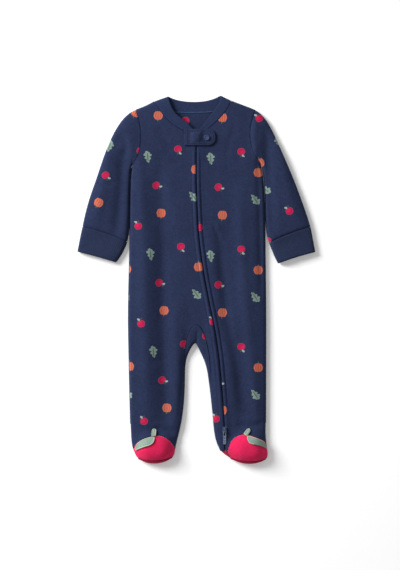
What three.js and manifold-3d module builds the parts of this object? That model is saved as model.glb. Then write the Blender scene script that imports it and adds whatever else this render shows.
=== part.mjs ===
// Footed onesie pajama for a baby, laid flat on its back with its zip done up.
// Millimetres. +Z is up and +Y runs towards the neck. Left and right are as seen from above.

import * as THREE from "three";
import Module from "manifold-3d";
import { mergeVertices } from "three/addons/utils/BufferGeometryUtils.js";

// Driving dimensions of the cloth
const WALL = 2.4; // fleece with its nap
const RIB_WALL = 3; // folded rib of the cuffs and the neckband
const SEAM_GAP = 0.4; // between two pieces at a seam
const SEAM_HEIGHT = 3.8; // where front and back meet all round the outline
const ROLL = 4; // radius of the front where it turns down to that seam
const REACH = 18; // how far in from the outline the front goes on rising
const REST_RISE = 1.8; // how much it rises there
const SLEEVE_RISE = 3.2;
const CUFF_RISE = 0.7;
const FOOT_RISE = 13;
const FOLD_FADE = 14; // folds die out this far from the outline

// Driving dimensions of the zip, its tab and its hardware
const ZIP_SLIT = 1.6;
const WELT = { width: 6.4, height: 1 }; // folded edge on either side of the slit
const TAPE = { half: 7, thickness: 0.8, coilHalf: 2, coilHeight: 1.2, top: 226, foot: -262, rows: 24 };
const TAB = { left: -20.2, right: 29.3, middle: 229.2, half: 13.2, corner: 12, thickness: 2.4 };
const SNAP = { x: 15.4, y: 228.2, radius: 4.6, rim: 1.2, height: 1.6 };
const SLIDER = { width: 6.6, length: 10.5, plate: 1.5, neck: 0.7 };
const BRIDGE = { width: 1.3, length: 8, clear: 2, bar: 0.9 };
const PULL = { width: 5, length: 21, thickness: 0.9, eyeWidth: 2, eyeLength: 6.5, arm: 0.9 };
const SLIDER_LOW_Y = -239;
const SLIDER_TOP_Y = 230;

// Outline of the garment, a row for each turn, from the top down
const SIDE_LEFT = [
  { x: -104, y: 185 }, { x: -106, y: 165 }, { x: -107, y: 130 }, { x: -107.5, y: 60 },
  { x: -110, y: -45 }, { x: -109, y: -120 }, { x: -107.2, y: -200 }, { x: -106, y: -245 },
  { x: -105.3, y: -256 }, { x: -103.5, y: -267 }, { x: -100.6, y: -274.5 }, { x: -97.3, y: -281.5 },
  { x: -90, y: -288.2 }, { x: -81, y: -292.4 }, { x: -67, y: -294.2 },
];
const INNER_LEFT = [
  { x: -2.5, y: -99.5 }, { x: -6, y: -103 }, { x: -11, y: -110.5 }, { x: -16, y: -121 },
  { x: -18.6, y: -132 }, { x: -19.2, y: -153 }, { x: -19.6, y: -178 }, { x: -21, y: -198 },
  { x: -24, y: -223 }, { x: -28, y: -243 }, { x: -32, y: -255 }, { x: -34.6, y: -268 },
  { x: -37, y: -280 }, { x: -43, y: -286.5 }, { x: -53, y: -291.6 }, { x: -67, y: -294.2 },
];
const INNER_RIGHT = [
  { x: -2.5, y: -99.5 }, { x: 0.5, y: -104 }, { x: 4.5, y: -113 }, { x: 8.5, y: -121 },
  { x: 12.5, y: -129 }, { x: 15.5, y: -139 }, { x: 18, y: -155 }, { x: 21, y: -178 },
  { x: 23, y: -198 }, { x: 25.4, y: -220 }, { x: 27, y: -242 }, { x: 29.5, y: -256 },
  { x: 35, y: -268 }, { x: 41, y: -276 }, { x: 51, y: -283 }, { x: 59, y: -288 },
  { x: 69, y: -292.4 }, { x: 81.4, y: -294.6 },
];
const SIDE_RIGHT = [
  { x: 102, y: 187 }, { x: 106, y: 168 }, { x: 108, y: 140 }, { x: 109, y: 60 },
  { x: 110.2, y: -45 }, { x: 110.2, y: -120 }, { x: 110, y: -200 }, { x: 110, y: -247 },
  { x: 109.6, y: -258 }, { x: 112.6, y: -270 }, { x: 113.5, y: -279 }, { x: 111.4, y: -285.6 },
  { x: 104.2, y: -290.3 }, { x: 93.4, y: -293.5 }, { x: 81.4, y: -294.6 },
];
const OUTER_LEFT = [
  { x: -46.4, y: 295.2 }, { x: -57.6, y: 291.4 }, { x: -68.8, y: 287.4 }, { x: -82, y: 280.4 },
  { x: -98.4, y: 274 }, { x: -110.4, y: 268 }, { x: -121.6, y: 256.8 }, { x: -131.2, y: 242 },
  { x: -142.4, y: 218.4 }, { x: -152, y: 192.8 }, { x: -160, y: 167.2 }, { x: -169.6, y: 141.6 },
  { x: -177.6, y: 116 }, { x: -183, y: 90 }, { x: -184.6, y: 84 }, { x: -192, y: 46.2 },
];
const INNER_SLEEVE_LEFT = [
  { x: -105.3, y: 184.2 }, { x: -107.1, y: 165 }, { x: -107.8, y: 140 }, { x: -108.1, y: 110 },
  { x: -108.5, y: 85 }, { x: -111.2, y: 62 }, { x: -115.2, y: 52 }, { x: -121, y: 40 },
  { x: -129.6, y: 28.8 },
];
const OUTER_RIGHT = [
  { x: 38.4, y: 296.8 }, { x: 46.4, y: 292.8 }, { x: 54.4, y: 288.6 }, { x: 72, y: 282 },
  { x: 94.4, y: 273 }, { x: 103, y: 267 }, { x: 112, y: 256.8 }, { x: 120, y: 243 },
  { x: 131.2, y: 218.4 }, { x: 142.4, y: 192.8 }, { x: 153.6, y: 167.2 }, { x: 163.2, y: 141.6 },
  { x: 172.8, y: 116 }, { x: 181, y: 90 }, { x: 182.8, y: 84 }, { x: 189.9, y: 45.6 },
];
const INNER_SLEEVE_RIGHT = [
  { x: 103.7, y: 186 }, { x: 107.4, y: 165 }, { x: 109.1, y: 140 }, { x: 109.7, y: 110 },
  { x: 110.6, y: 85 }, { x: 115, y: 61 }, { x: 118.8, y: 52 }, { x: 124, y: 38 }, { x: 129.9, y: 27 },
];

// Seams on the outline's inside, a row for each turn
const ARMHOLE_LEFT = [
  { x: -98.4, y: 274 }, { x: -93, y: 258 }, { x: -89.8, y: 241 }, { x: -89.8, y: 224 },
  { x: -93, y: 203 }, { x: -104, y: 185 },
];
const ARMHOLE_RIGHT = [
  { x: 94.4, y: 273 }, { x: 88, y: 257 }, { x: 84.8, y: 241 }, { x: 85.6, y: 221 },
  { x: 91, y: 202 }, { x: 102, y: 187 },
];
const NECK_SEAM_LEFT = [
  { x: -68.8, y: 287.4 }, { x: -62, y: 276 }, { x: -54.4, y: 265.6 }, { x: -47, y: 257 },
  { x: -39, y: 249.6 }, { x: -30, y: 244 }, { x: -20, y: 239.2 }, { x: -10, y: 233.6 },
  { x: -1, y: 230 },
];
const NECK_SEAM_RIGHT = [
  { x: -1, y: 230 }, { x: 8, y: 235.6 }, { x: 16, y: 241 }, { x: 23, y: 247 }, { x: 31, y: 254.4 },
  { x: 38.4, y: 262 }, { x: 45, y: 270 }, { x: 51, y: 279 }, { x: 54.4, y: 288.6 },
];
const NECK_EDGE_LEFT = [
  { x: -46.4, y: 295.2 }, { x: -43, y: 284 }, { x: -38.4, y: 272.8 }, { x: -32, y: 265.4 },
  { x: -24, y: 259 }, { x: -10.4, y: 247 }, { x: -5.6, y: 242 }, { x: -1.6, y: 239.4 },
];
const NECK_EDGE_RIGHT = [
  { x: -0.4, y: 239.4 }, { x: 4.8, y: 243 }, { x: 14.4, y: 255 }, { x: 20, y: 262.5 },
  { x: 26.6, y: 270.6 }, { x: 33, y: 279 }, { x: 37.6, y: 288 }, { x: 38.4, y: 296.8 },
];
const BACK_NECK_SEAM = [
  { x: -68.8, y: 287.4 }, { x: -65.6, y: 280.8 }, { x: -60, y: 276.4 }, { x: -49, y: 272.8 },
  { x: -35, y: 270.6 }, { x: -19, y: 269.4 }, { x: -3, y: 269.4 }, { x: 13, y: 270 },
  { x: 28, y: 271.4 }, { x: 40, y: 274 }, { x: 47.4, y: 277.6 }, { x: 51.6, y: 282.4 },
  { x: 54.4, y: 288.6 },
];
const BACK_NECK_EDGE = [
  { x: -46.4, y: 295.2 }, { x: -38, y: 291.4 }, { x: -27.2, y: 288.3 }, { x: -14, y: 286.8 },
  { x: -1.6, y: 286.4 }, { x: 10, y: 287.3 }, { x: 20.8, y: 289.2 }, { x: 30, y: 292.6 },
  { x: 38.4, y: 296.8 },
];
const ZIP_LINE = [
  { x: -1, y: 245 }, { x: -1, y: 151 }, { x: 0.6, y: 113 }, { x: 2.6, y: 74 }, { x: 5.6, y: 49 },
  { x: 9, y: 23 }, { x: 13.4, y: -2 }, { x: 18.4, y: -28 }, { x: 23.6, y: -54 }, { x: 28.8, y: -79 },
  { x: 32.8, y: -105 }, { x: 36, y: -130 }, { x: 39, y: -162 }, { x: 41.6, y: -194 },
  { x: 43.6, y: -226 }, { x: 44.8, y: -275 },
];
const GUSSET_LEFT = [
  { x: -0.8, y: -70.5 }, { x: -5.5, y: -72.4 }, { x: -9.5, y: -77 }, { x: -13, y: -84 },
  { x: -16.4, y: -94 }, { x: -19, y: -107 }, { x: -20.4, y: -120 }, { x: -20.4, y: -131 },
  { x: -20, y: -139 },
];
const GUSSET_RIGHT = [
  { x: -0.8, y: -70.5 }, { x: 4, y: -72.4 }, { x: 8.4, y: -78 }, { x: 12, y: -87 },
  { x: 15.4, y: -98 }, { x: 18.4, y: -111 }, { x: 20.6, y: -126 }, { x: 21.2, y: -140 },
  { x: 20.8, y: -154 }, { x: 20.6, y: -167 },
];
const TOE_SEAM_LEFT = [
  { x: -102.3, y: -270.5 }, { x: -98.6, y: -265 }, { x: -93.8, y: -258.6 }, { x: -84, y: -252 },
  { x: -72.6, y: -248.6 }, { x: -61, y: -247 }, { x: -51, y: -250.6 }, { x: -43.4, y: -257 },
  { x: -38.2, y: -263.6 }, { x: -35.2, y: -270.5 },
];
const TOE_SEAM_RIGHT = [
  { x: 49.6, y: -271 }, { x: 50.6, y: -266 }, { x: 53, y: -260.6 }, { x: 57.4, y: -254.6 },
  { x: 63, y: -249.4 }, { x: 69, y: -246 }, { x: 77, y: -245 }, { x: 91, y: -249 },
  { x: 100, y: -252.6 }, { x: 109.6, y: -258 },
];
const SOLE_SEAM_LEFT = [
  { x: -97.2, y: -281.6 }, { x: -90, y: -285 }, { x: -80, y: -286.8 }, { x: -67.8, y: -287.2 },
  { x: -55.5, y: -285.8 }, { x: -44, y: -283 }, { x: -37.2, y: -280.4 },
];
const SOLE_SEAM_RIGHT = [
  { x: 54, y: -283.4 }, { x: 63, y: -286 }, { x: 73.6, y: -287.6 }, { x: 84, y: -288.3 },
  { x: 95, y: -288.2 }, { x: 105, y: -286 }, { x: 112.4, y: -282.6 },
];
const TOE_INSTEP_RIGHT = [{ x: 49.6, y: -271 }, { x: 50.4, y: -277.4 }, { x: 54, y: -283.4 }];
const CUFF_SEAM_LEFT = [
  { x: -184, y: 86.2 }, { x: -170, y: 83 }, { x: -153, y: 78 }, { x: -134, y: 71.4 }, { x: -112, y: 62 },
];
const CUFF_SEAM_RIGHT = [
  { x: 182.2, y: 86 }, { x: 168, y: 82 }, { x: 151, y: 76 }, { x: 134, y: 69.4 }, { x: 116, y: 61 },
];
const CUFF_HEM_LEFT = [{ x: -192, y: 46.2 }, { x: -162, y: 38.4 }, { x: -129.6, y: 28.8 }];
const CUFF_HEM_RIGHT = [{ x: 189.9, y: 45.6 }, { x: 160, y: 37.4 }, { x: 129.9, y: 27 }];

// Soft folds of the front, each along a straight line from (x1, y1) to (x2, y2)
const FOLDS = [
  { name: "left leg crest", x1: -81, y1: 65, x2: -78, y2: -238, height: 2.8, width: 11 },
  { name: "left leg trough", x1: -47, y1: 60, x2: -47, y2: -222, height: -1.7, width: 10 },
  { name: "left inner crest", x1: -29, y1: -25, x2: -33, y2: -232, height: 1.4, width: 8 },
  { name: "left chest crest", x1: -93, y1: 186, x2: -86, y2: 90, height: 1.6, width: 8 },
  { name: "left chest trough", x1: -66, y1: 165, x2: -56, y2: 68, height: -1.3, width: 10 },
  { name: "right hip crest", x1: 22, y1: 70, x2: 32, y2: -20, height: 1.8, width: 9 },
  { name: "right hip trough", x1: 52, y1: 82, x2: 54, y2: -36, height: -1.6, width: 12 },
  { name: "right side crest", x1: 82, y1: 130, x2: 86, y2: -80, height: 1.5, width: 16 },
  { name: "right shin crest", x1: 48, y1: -96, x2: 60, y2: -196, height: 2, width: 9 },
  { name: "right shin trough", x1: 70, y1: -92, x2: 83, y2: -204, height: -1.6, width: 9 },
  { name: "right calf crest", x1: 92, y1: -110, x2: 94, y2: -222, height: 1.2, width: 8 },
  { name: "left ankle crease", x1: -75, y1: -238, x2: -40, y2: -243, height: -1.5, width: 4 },
  { name: "left sleeve trough", x1: -127, y1: 236, x2: -115, y2: 178, height: -2.2, width: 7 },
  { name: "left sleeve ridge", x1: -111, y1: 244, x2: -104, y2: 204, height: 1.4, width: 7 },
  { name: "left sleeve crest", x1: -143, y1: 205, x2: -160, y2: 120, height: 1, width: 12 },
  { name: "right sleeve trough", x1: 116, y1: 238, x2: 118, y2: 180, height: -2.2, width: 7 },
  { name: "right sleeve ridge", x1: 100, y1: 258, x2: 101, y2: 208, height: 1.4, width: 7 },
  { name: "right sleeve crest", x1: 142, y1: 180, x2: 158, y2: 112, height: 1, width: 12 },
];

// Each foot fills out over an ellipse round its toe cap
const FEET = [
  { x: -68, y: -272, acrossHalf: 38, alongHalf: 34 },
  { x: 83, y: -272, acrossHalf: 37, alongHalf: 34 },
];

// Leaf on each toe cap, a row for each rib from its tip to its stalk
const LEAF_LEFT = [
  { upperX: -98, upperY: -269, lowerX: -97, lowerY: -270.8 },
  { upperX: -93.8, upperY: -260.6, lowerX: -91, lowerY: -267.6 },
  { upperX: -84.4, upperY: -254, lowerX: -82.6, lowerY: -264.2 },
  { upperX: -76.6, upperY: -251.4, lowerX: -74, lowerY: -261 },
  { upperX: -71.6, upperY: -250.4, lowerX: -69.4, lowerY: -257 },
  { upperX: -68.8, upperY: -250.4, lowerX: -68, lowerY: -252.8 },
];
const LEAF_RIGHT = [
  { upperX: 111, upperY: -267.4, lowerX: 110, lowerY: -268.8 },
  { upperX: 105.4, upperY: -258, lowerX: 104, lowerY: -265 },
  { upperX: 98.4, upperY: -254.2, lowerX: 96.6, lowerY: -262.6 },
  { upperX: 90.8, upperY: -251.2, lowerX: 89.6, lowerY: -260.4 },
  { upperX: 84, upperY: -249.4, lowerX: 83.4, lowerY: -258 },
  { upperX: 80.6, upperY: -248.8, lowerX: 80.8, lowerY: -252.8 },
];
const LEAF_THICKNESS = 1;
const STEMS = {
  left: { x1: -69.6, y1: -249, x2: -69.1, y2: -238, half: 3.3 },
  right: { x1: 77.6, y1: -247.2, x2: 84.2, y2: -238.6, half: 2.9 },
};
const STEM_THICKNESS = 1.5;

// Steps between the lines of a panel
const EDGE_STEPS = [0, 0.9, 2.7, 5.4, 10]; // in from the outline, close together in the roll
const CORNER_STEPS = [0, 0.6, 1.8, 3.6, 7]; // in from the neck's corner
const WELT_STEPS = [0, 0.8, WELT.width, WELT.width + 1];
const BACK_STEPS = [0, 1.1, 3.8];
const ARMHOLE_STEPS = [0, 0.012, 0.035, 0.075, 0.16, 0.3, 0.46, 0.62, 0.78, 0.9, 0.965, 1];
const SLEEVE_STEPS = [0, 0.05, 0.13, 0.24, 0.36, 0.49, 0.62, 0.75, 0.88, 1];
const CUFF_STEPS = [0, 0.3, 0.65, 1];
const ACROSS_STEPS = [0, 0.34, 0.68, 1];
const CHEST_ROWS = 10; // between the underarm and the gusset's top
const UNDERARM_Y = 185;
const GUSSET_TOP = -70.5;
const ANKLE_Y = -190; // rows bend towards the toe seam below this
const ANKLE_STEPS = [0.3, 0.58, 0.82, 0.94, 1];
const STRIP_FOOT = -272.6; // lower end of the narrow strip beside the zip

const mix = THREE.MathUtils.lerp;
const clamp01 = (value) => Math.min(Math.max(value, 0), 1);

function smooth(from, to, value) {
  const t = clamp01((value - from) / (to - from));
  return t * t * (3 - 2 * t);
}

const mixPoint = (a, b, t) => ({ x: mix(a.x, b.x, t), y: mix(a.y, b.y, t) });

// A smooth line through a table's rows, as a list of close points
function curveThrough(rows, steps = 6) {
  const knots = rows.map((row) => new THREE.Vector3(row.x, row.y, 0));
  const curve = new THREE.CatmullRomCurve3(knots, false, "centripetal");
  return curve.getPoints((rows.length - 1) * steps).map(({ x, y }) => ({ x, y }));
}

// The value of one column where another column has the given value
function lookup(rows, key, result, value) {
  const rising = rows[0][key] < rows.at(-1)[key];
  const list = rising ? rows : [...rows].reverse();
  if (value <= list[0][key]) return list[0][result];
  for (let i = 1; i < list.length; i += 1) {
    if (value <= list[i][key]) {
      const t = (value - list[i - 1][key]) / (list[i][key] - list[i - 1][key]);
      return mix(list[i - 1][result], list[i][result], t);
    }
  }
  return list.at(-1)[result];
}

const atHeight = (line, y) => ({ x: lookup(line, "y", "x", y), y });

// The stretch of a falling line between two heights
function stretch(line, top, foot) {
  const inside = line.filter((point) => point.y < top && point.y > foot);
  return [atHeight(line, top), ...inside, atHeight(line, foot)];
}

// The point at a fraction of a line's length
function along(line, fraction) {
  const lengths = [0];
  for (let i = 1; i < line.length; i += 1) {
    lengths.push(lengths[i - 1] + Math.hypot(line[i].x - line[i - 1].x, line[i].y - line[i - 1].y));
  }
  const target = fraction * lengths.at(-1);
  const next = Math.max(1, lengths.findIndex((length) => length >= target - 1e-9));
  const t = (target - lengths[next - 1]) / (lengths[next] - lengths[next - 1]);
  return mixPoint(line[next - 1], line[next], t);
}

// Places from 0 to width: fixed steps at either end and equal ones between
function spread(width, count, startSteps, endSteps) {
  const taken = startSteps.at(-1) + endSteps.at(-1);
  const squeeze = Math.min(1, (0.8 * width) / Math.max(taken, 1e-6));
  const start = startSteps.map((step) => step * squeeze);
  const end = endSteps.map((step) => step * squeeze);
  const first = start.length - 1;
  const last = count - (end.length - 1);
  const places = [];
  for (let i = 0; i <= count; i += 1) {
    if (i <= first) places.push(start[i]);
    else if (i >= last) places.push(width - end[count - i]);
    else places.push(mix(start[first], width - end.at(-1), (i - first) / (last - first)));
  }
  return places;
}

const sideLeft = curveThrough(SIDE_LEFT);
const innerLeft = curveThrough(INNER_LEFT);
const innerRight = curveThrough(INNER_RIGHT);
const sideRight = curveThrough(SIDE_RIGHT);
const outerLeft = curveThrough(OUTER_LEFT);
const innerSleeveLeft = curveThrough(INNER_SLEEVE_LEFT);
const outerRight = curveThrough(OUTER_RIGHT);
const innerSleeveRight = curveThrough(INNER_SLEEVE_RIGHT);
const zipLine = curveThrough(ZIP_LINE);
const zipX = (y) => lookup(zipLine, "y", "x", y);

// The outline, run so that the cloth is always on the left hand
const outline = [
  [...sideLeft, ...[...innerLeft].reverse().slice(1)],
  [...innerRight, ...[...sideRight].reverse().slice(1)],
  outerLeft,
  [...innerSleeveLeft].reverse(),
  innerSleeveRight,
  [...outerRight].reverse(),
];
const segments = outline.flatMap((line) =>
  line.slice(1).map((end, i) => {
    const start = line[i];
    const length = Math.hypot(end.x - start.x, end.y - start.y);
    return { start, length, dx: (end.x - start.x) / length, dy: (end.y - start.y) / length };
  }),
);

// Distance from a point to the outline, with the way in from it
function nearestEdge(x, y) {
  let best = { distance: Infinity };
  for (const { start, length, dx, dy } of segments) {
    const run = (x - start.x) * dx + (y - start.y) * dy;
    const t = Math.min(Math.max(run, 0), length);
    const footX = start.x + dx * t;
    const footY = start.y + dy * t;
    const distance = Math.hypot(x - footX, y - footY);
    if (distance < best.distance) best = { distance, footX, footY, inX: -dy, inY: dx };
  }
  return best;
}

// Height that a quarter circle gives at a distance in from its edge
const quarter = (distance, radius) =>
  radius * Math.sqrt(1 - (1 - clamp01(distance / radius)) ** 2);

function foldHeight(x, y) {
  let height = 0;
  for (const fold of FOLDS) {
    const dx = fold.x2 - fold.x1;
    const dy = fold.y2 - fold.y1;
    const t = clamp01(((x - fold.x1) * dx + (y - fold.y1) * dy) / (dx * dx + dy * dy));
    const away = Math.hypot(x - fold.x1 - t * dx, y - fold.y1 - t * dy);
    height += fold.height * Math.exp(-((away / fold.width) ** 2));
  }
  return height;
}

// How far the front rises past its roll: more in the sleeves and feet, less in the cuffs
function riseAt(x, y) {
  const side = Math.abs(x);
  const inSleeve = smooth(92, 116, side) * smooth(40, 60, y);
  const cuffSeamY = lookup(x < 0 ? CUFF_SEAM_LEFT : CUFF_SEAM_RIGHT, "x", "y", x);
  const inCuff = inSleeve * smooth(2, -6, y - cuffSeamY);
  let rise = mix(REST_RISE, SLEEVE_RISE, inSleeve);
  rise = mix(rise, CUFF_RISE, inCuff);
  for (const foot of FEET) {
    const away = Math.hypot((x - foot.x) / foot.acrossHalf, (y - foot.y) / foot.alongHalf);
    rise += FOOT_RISE * smooth(1.15, 0.35, away);
  }
  return rise;
}

function frontHeight(x, y) {
  const { distance } = nearestEdge(x, y);
  const swell = 1 - (1 - clamp01(distance / REACH)) ** 2;
  const fade = smooth(1, FOLD_FADE, distance);
  return SEAM_HEIGHT + quarter(distance, ROLL) + riseAt(x, y) * swell + fade * foldHeight(x, y);
}

const backHeight = (x, y) => SEAM_HEIGHT - quarter(nearestEdge(x, y).distance, SEAM_HEIGHT);

// Place and outward direction of a point of the garment's outer surface
function surface({ x, y, under }) {
  const edge = nearestEdge(x, y);
  const height = under ? backHeight : frontHeight;
  if (edge.distance < 0.05) {
    return {
      place: new THREE.Vector3(x, y, SEAM_HEIGHT),
      normal: new THREE.Vector3(-edge.inX, -edge.inY, 0),
    };
  }
  const step = Math.min(0.3, edge.distance / 2);
  const slopeX = (height(x + step, y) - height(x - step, y)) / (2 * step);
  const slopeY = (height(x, y + step) - height(x, y - step)) / (2 * step);
  const normal = new THREE.Vector3(-slopeX, -slopeY, 1).normalize();
  return { place: new THREE.Vector3(x, y, height(x, y)), normal: under ? normal.negate() : normal };
}

// A sheet of cloth as points of the surface and the triangles between them
class Sheet {
  points = [];
  faces = [];
  index = new Map();

  vertex(point) {
    const key = `${point.x.toFixed(4)},${point.y.toFixed(4)},${isOutline(point) ? "edge" : !!point.under}`;
    if (!this.index.has(key)) {
      this.index.set(key, this.points.length);
      this.points.push(point);
    }
    return this.index.get(key);
  }

  grid(rows) {
    const ids = rows.map((row) => row.map((point) => this.vertex(point)));
    for (let r = 1; r < ids.length; r += 1) {
      for (let c = 1; c < ids[r].length; c += 1) {
        const corners = [ids[r - 1][c - 1], ids[r][c - 1], ids[r][c], ids[r - 1][c]];
        for (const face of this.halves(corners)) {
          const [a, b, d] = face.map((corner) => corners[corner]);
          if (a !== b && b !== d && d !== a) this.faces.push([a, b, d]);
        }
      }
    }
    return this;
  }

  // A cell of the grid is cut along the shorter of its diagonals
  halves([a, b, c, d]) {
    const span = (from, to) => {
      const start = this.points[from];
      const end = this.points[to];
      return Math.hypot(end.x - start.x, end.y - start.y);
    };
    return span(a, c) <= span(b, d) ? [[0, 1, 2], [0, 2, 3]] : [[0, 1, 3], [1, 2, 3]];
  }

  rim() {
    const edges = new Map();
    for (const [a, b, c] of this.faces) {
      for (const [from, to] of [[a, b], [b, c], [c, a]]) {
        if (!edges.delete(`${to},${from}`)) edges.set(`${from},${to}`, [from, to]);
      }
    }
    return [...edges.values()];
  }
}

const isOutline = (point) => nearestEdge(point.x, point.y).distance < 0.05;

function geometryFrom(positions, faces) {
  const geometry = new THREE.BufferGeometry();
  const numbers = positions.flatMap((place) => place.toArray());
  const insideOut = signedVolume(positions, faces) < 0;
  geometry.setAttribute("position", new THREE.Float32BufferAttribute(numbers, 3));
  geometry.setIndex(insideOut ? faces.flatMap(([a, b, c]) => [a, c, b]) : faces.flat());
  geometry.computeVertexNormals();
  return geometry;
}

function signedVolume(positions, faces) {
  const cross = new THREE.Vector3();
  return faces.reduce((sum, [a, b, c]) =>
    sum + cross.crossVectors(positions[b], positions[c]).dot(positions[a]) / 6, 0);
}

// A closed wall on a sheet, from a height over the surface down to a depth under it
function wall(sheet, top, bottom, seamShift = 0) {
  const outer = [];
  const inner = [];
  for (const point of sheet.points) {
    const { place, normal } = surface(point);
    if (isOutline(point)) place.z += seamShift;
    outer.push(place.clone().addScaledVector(normal, top(point)));
    inner.push(place.clone().addScaledVector(normal, bottom(point)));
  }
  const count = sheet.points.length;
  const faces = [...sheet.faces];
  for (const [a, b, c] of sheet.faces) faces.push([a + count, c + count, b + count]);
  for (const [from, to] of sheet.rim()) {
    faces.push([to, from, from + count], [to, from + count, to + count]);
  }
  return geometryFrom([...outer, ...inner], faces);
}

const flush = () => 0;
const inBy = (depth) => () => -depth;
const HALF_GAP = SEAM_GAP / 2;

// Rows between four sides that meet at their corners
function patch(top, foot, left, right, steps) {
  const span = (row, i) => (row[i].x - row[0].x) / (row.at(-1).x - row[0].x);
  return steps.map((t, j) =>
    top.map((start, i) => {
      const s = mix(span(top, i), span(foot, i), t);
      const straight = mixPoint(start, foot[i], t);
      const leftMiss = mixPoint(top[0], foot[0], t);
      const rightMiss = mixPoint(top.at(-1), foot.at(-1), t);
      return {
        x: straight.x + (1 - s) * (left[j].x - leftMiss.x) + s * (right[j].x - rightMiss.x),
        y: straight.y + (1 - s) * (left[j].y - leftMiss.y) + s * (right[j].y - rightMiss.y),
      };
    }),
  );
}

// Rows down a sleeve. The armhole's curve dies out sooner near the underarm,
// where the sleeve turns back round the body's side.
const UNDERARM_HASTE = 40;

function sleevePatch(armhole, foot, outer, inner) {
  return SLEEVE_STEPS.map((t, j) =>
    armhole.map((start, i) => {
      const s = ARMHOLE_STEPS[i];
      const bow = (row) => ({
        x: row[i].x - mix(row[0].x, row.at(-1).x, s),
        y: row[i].y - mix(row[0].y, row.at(-1).y, s),
      });
      const armBow = bow(armhole);
      const footBow = bow(foot);
      const keep = (1 - t) ** (1 + UNDERARM_HASTE * s ** 6);
      return {
        x: mix(outer[j].x, inner[j].x, s) + keep * armBow.x + t * footBow.x,
        y: mix(outer[j].y, inner[j].y, s) + keep * armBow.y + t * footBow.y,
      };
    }),
  );
}

const shift = (point, dx, dy) => ({ ...point, x: point.x + dx, y: point.y + dy });
const onOutline = (line, point) => atHeight(line, point.y);

// Height of the folded edge beside the zip's slit
function weltHeight({ x, y }) {
  const away = Math.abs(x - zipX(y)) - ZIP_SLIT / 2;
  if (away < 0.8) return WELT.height * mix(0.4, 1, clamp01(away / 0.8));
  return WELT.height * (1 - clamp01(away - WELT.width));
}

// Points of the armhole, moved off the seam towards one side
function armholePoints(rows, outer, sideLine, shiftX) {
  const line = curveThrough(rows);
  return ARMHOLE_STEPS.map((step, i) => {
    const point = shift(along(line, step), shiftX, 0);
    if (i === 0) return { x: point.x, y: lookup(outer, "x", "y", point.x) };
    if (i === ARMHOLE_STEPS.length - 1) return onOutline(sideLine, atHeight(sideLine, sideLine[0].y));
    return point;
  });
}

// The wide front panel: from the left side seam to the zip, with the whole left leg
// and the strip of the right leg inside the zip.
const WIDE = { shoulder: 4, leg: 15, strip: 5 };
const WIDE_TOTAL = WIDE.leg + WIDE.strip;
const neckSeamLeft = curveThrough(NECK_SEAM_LEFT);
const neckSeamRight = curveThrough(NECK_SEAM_RIGHT);
const zipLeftX = (y) => zipX(y) - ZIP_SLIT / 2;
const zipRightX = (y) => zipX(y) + ZIP_SLIT / 2;
const gussetLeft = curveThrough(GUSSET_LEFT);
const gussetRight = curveThrough(GUSSET_RIGHT);

const NECK_DROP = HALF_GAP * 1.6; // the neck seam is steep, so its gap is measured down

function shoulderToNeck(outer, seam, tipX, cornerX, endX, shoulderCount, neckCount, endSteps) {
  const row = [];
  for (let i = 0; i < shoulderCount; i += 1) {
    const x = mix(tipX, cornerX, i / shoulderCount);
    row.push({ x, y: lookup(outer, "x", "y", x) });
  }
  const width = Math.abs(endX - cornerX);
  const way = Math.sign(endX - cornerX);
  for (const place of spread(width, neckCount, CORNER_STEPS, endSteps)) {
    const x = cornerX + way * place;
    row.push({ x, y: lookup(seam, "x", "y", x) - (place > 0 ? NECK_DROP : 0) });
  }
  const corner = cornerX - way * SEAM_GAP;
  row[shoulderCount] = { x: corner, y: lookup(outer, "x", "y", corner) };
  return row;
}

const wideTop = shoulderToNeck(
  outerLeft, neckSeamLeft, OUTER_LEFT[4].x + HALF_GAP, OUTER_LEFT[2].x, zipLeftX(230),
  WIDE.shoulder, WIDE_TOTAL - WIDE.shoulder, WELT_STEPS,
);
const NARROW = { shoulder: 4, total: 16 };
const narrowTop = shoulderToNeck(
  outerRight, neckSeamRight, OUTER_RIGHT[4].x - HALF_GAP, OUTER_RIGHT[2].x, zipRightX(230),
  NARROW.shoulder, NARROW.total - NARROW.shoulder, WELT_STEPS,
).reverse();

// One row of the wide panel, split where the gusset's top comes
function wideSpans(y) {
  const left = atHeight(sideLeft, y).x;
  const zip = zipLeftX(y);
  const split = mix(GUSSET_LEFT[0].x, -26, smooth(GUSSET_TOP, UNDERARM_Y, y));
  const crowd = smooth(-10, GUSSET_TOP, y);
  const plain = spread(split - left, WIDE.leg, EDGE_STEPS, [0]);
  const crowded = spread(split - left, WIDE.leg, EDGE_STEPS, EDGE_STEPS);
  const leg = plain.map((place, i) => ({ x: left + mix(place, crowded[i], crowd), y }));
  const strip = spread(zip - split, WIDE.strip, [0], WELT_STEPS).map((place) => ({ x: split + place, y }));
  return { leg, strip };
}

function legRow(y, left, right, count, leftSteps, rightSteps) {
  return spread(right - left, count, leftSteps, rightSteps).map((place) => ({ x: left + place, y }));
}

const LEFT_LEG_ROWS = [-72.4, -77, -84, -94, -107, -120, -131, -139, -144, -166, ANKLE_Y];
const STRIP_ROWS = [-72.4, -78, -87, -98, -111, -126, -140, -154, -167, -172, ANKLE_Y];
const GUSSET_END = { left: -139, right: -167 };

function innerLegLeft(y) {
  if (y < GUSSET_END.left - 1) return atHeight(innerLeft, y).x;
  return lookup(GUSSET_LEFT, "y", "x", y) - SEAM_GAP;
}

function innerLegRight(y) {
  if (y < GUSSET_END.right - 1) return atHeight(innerRight, y).x;
  return lookup(GUSSET_RIGHT, "y", "x", y) + SEAM_GAP;
}

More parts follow.
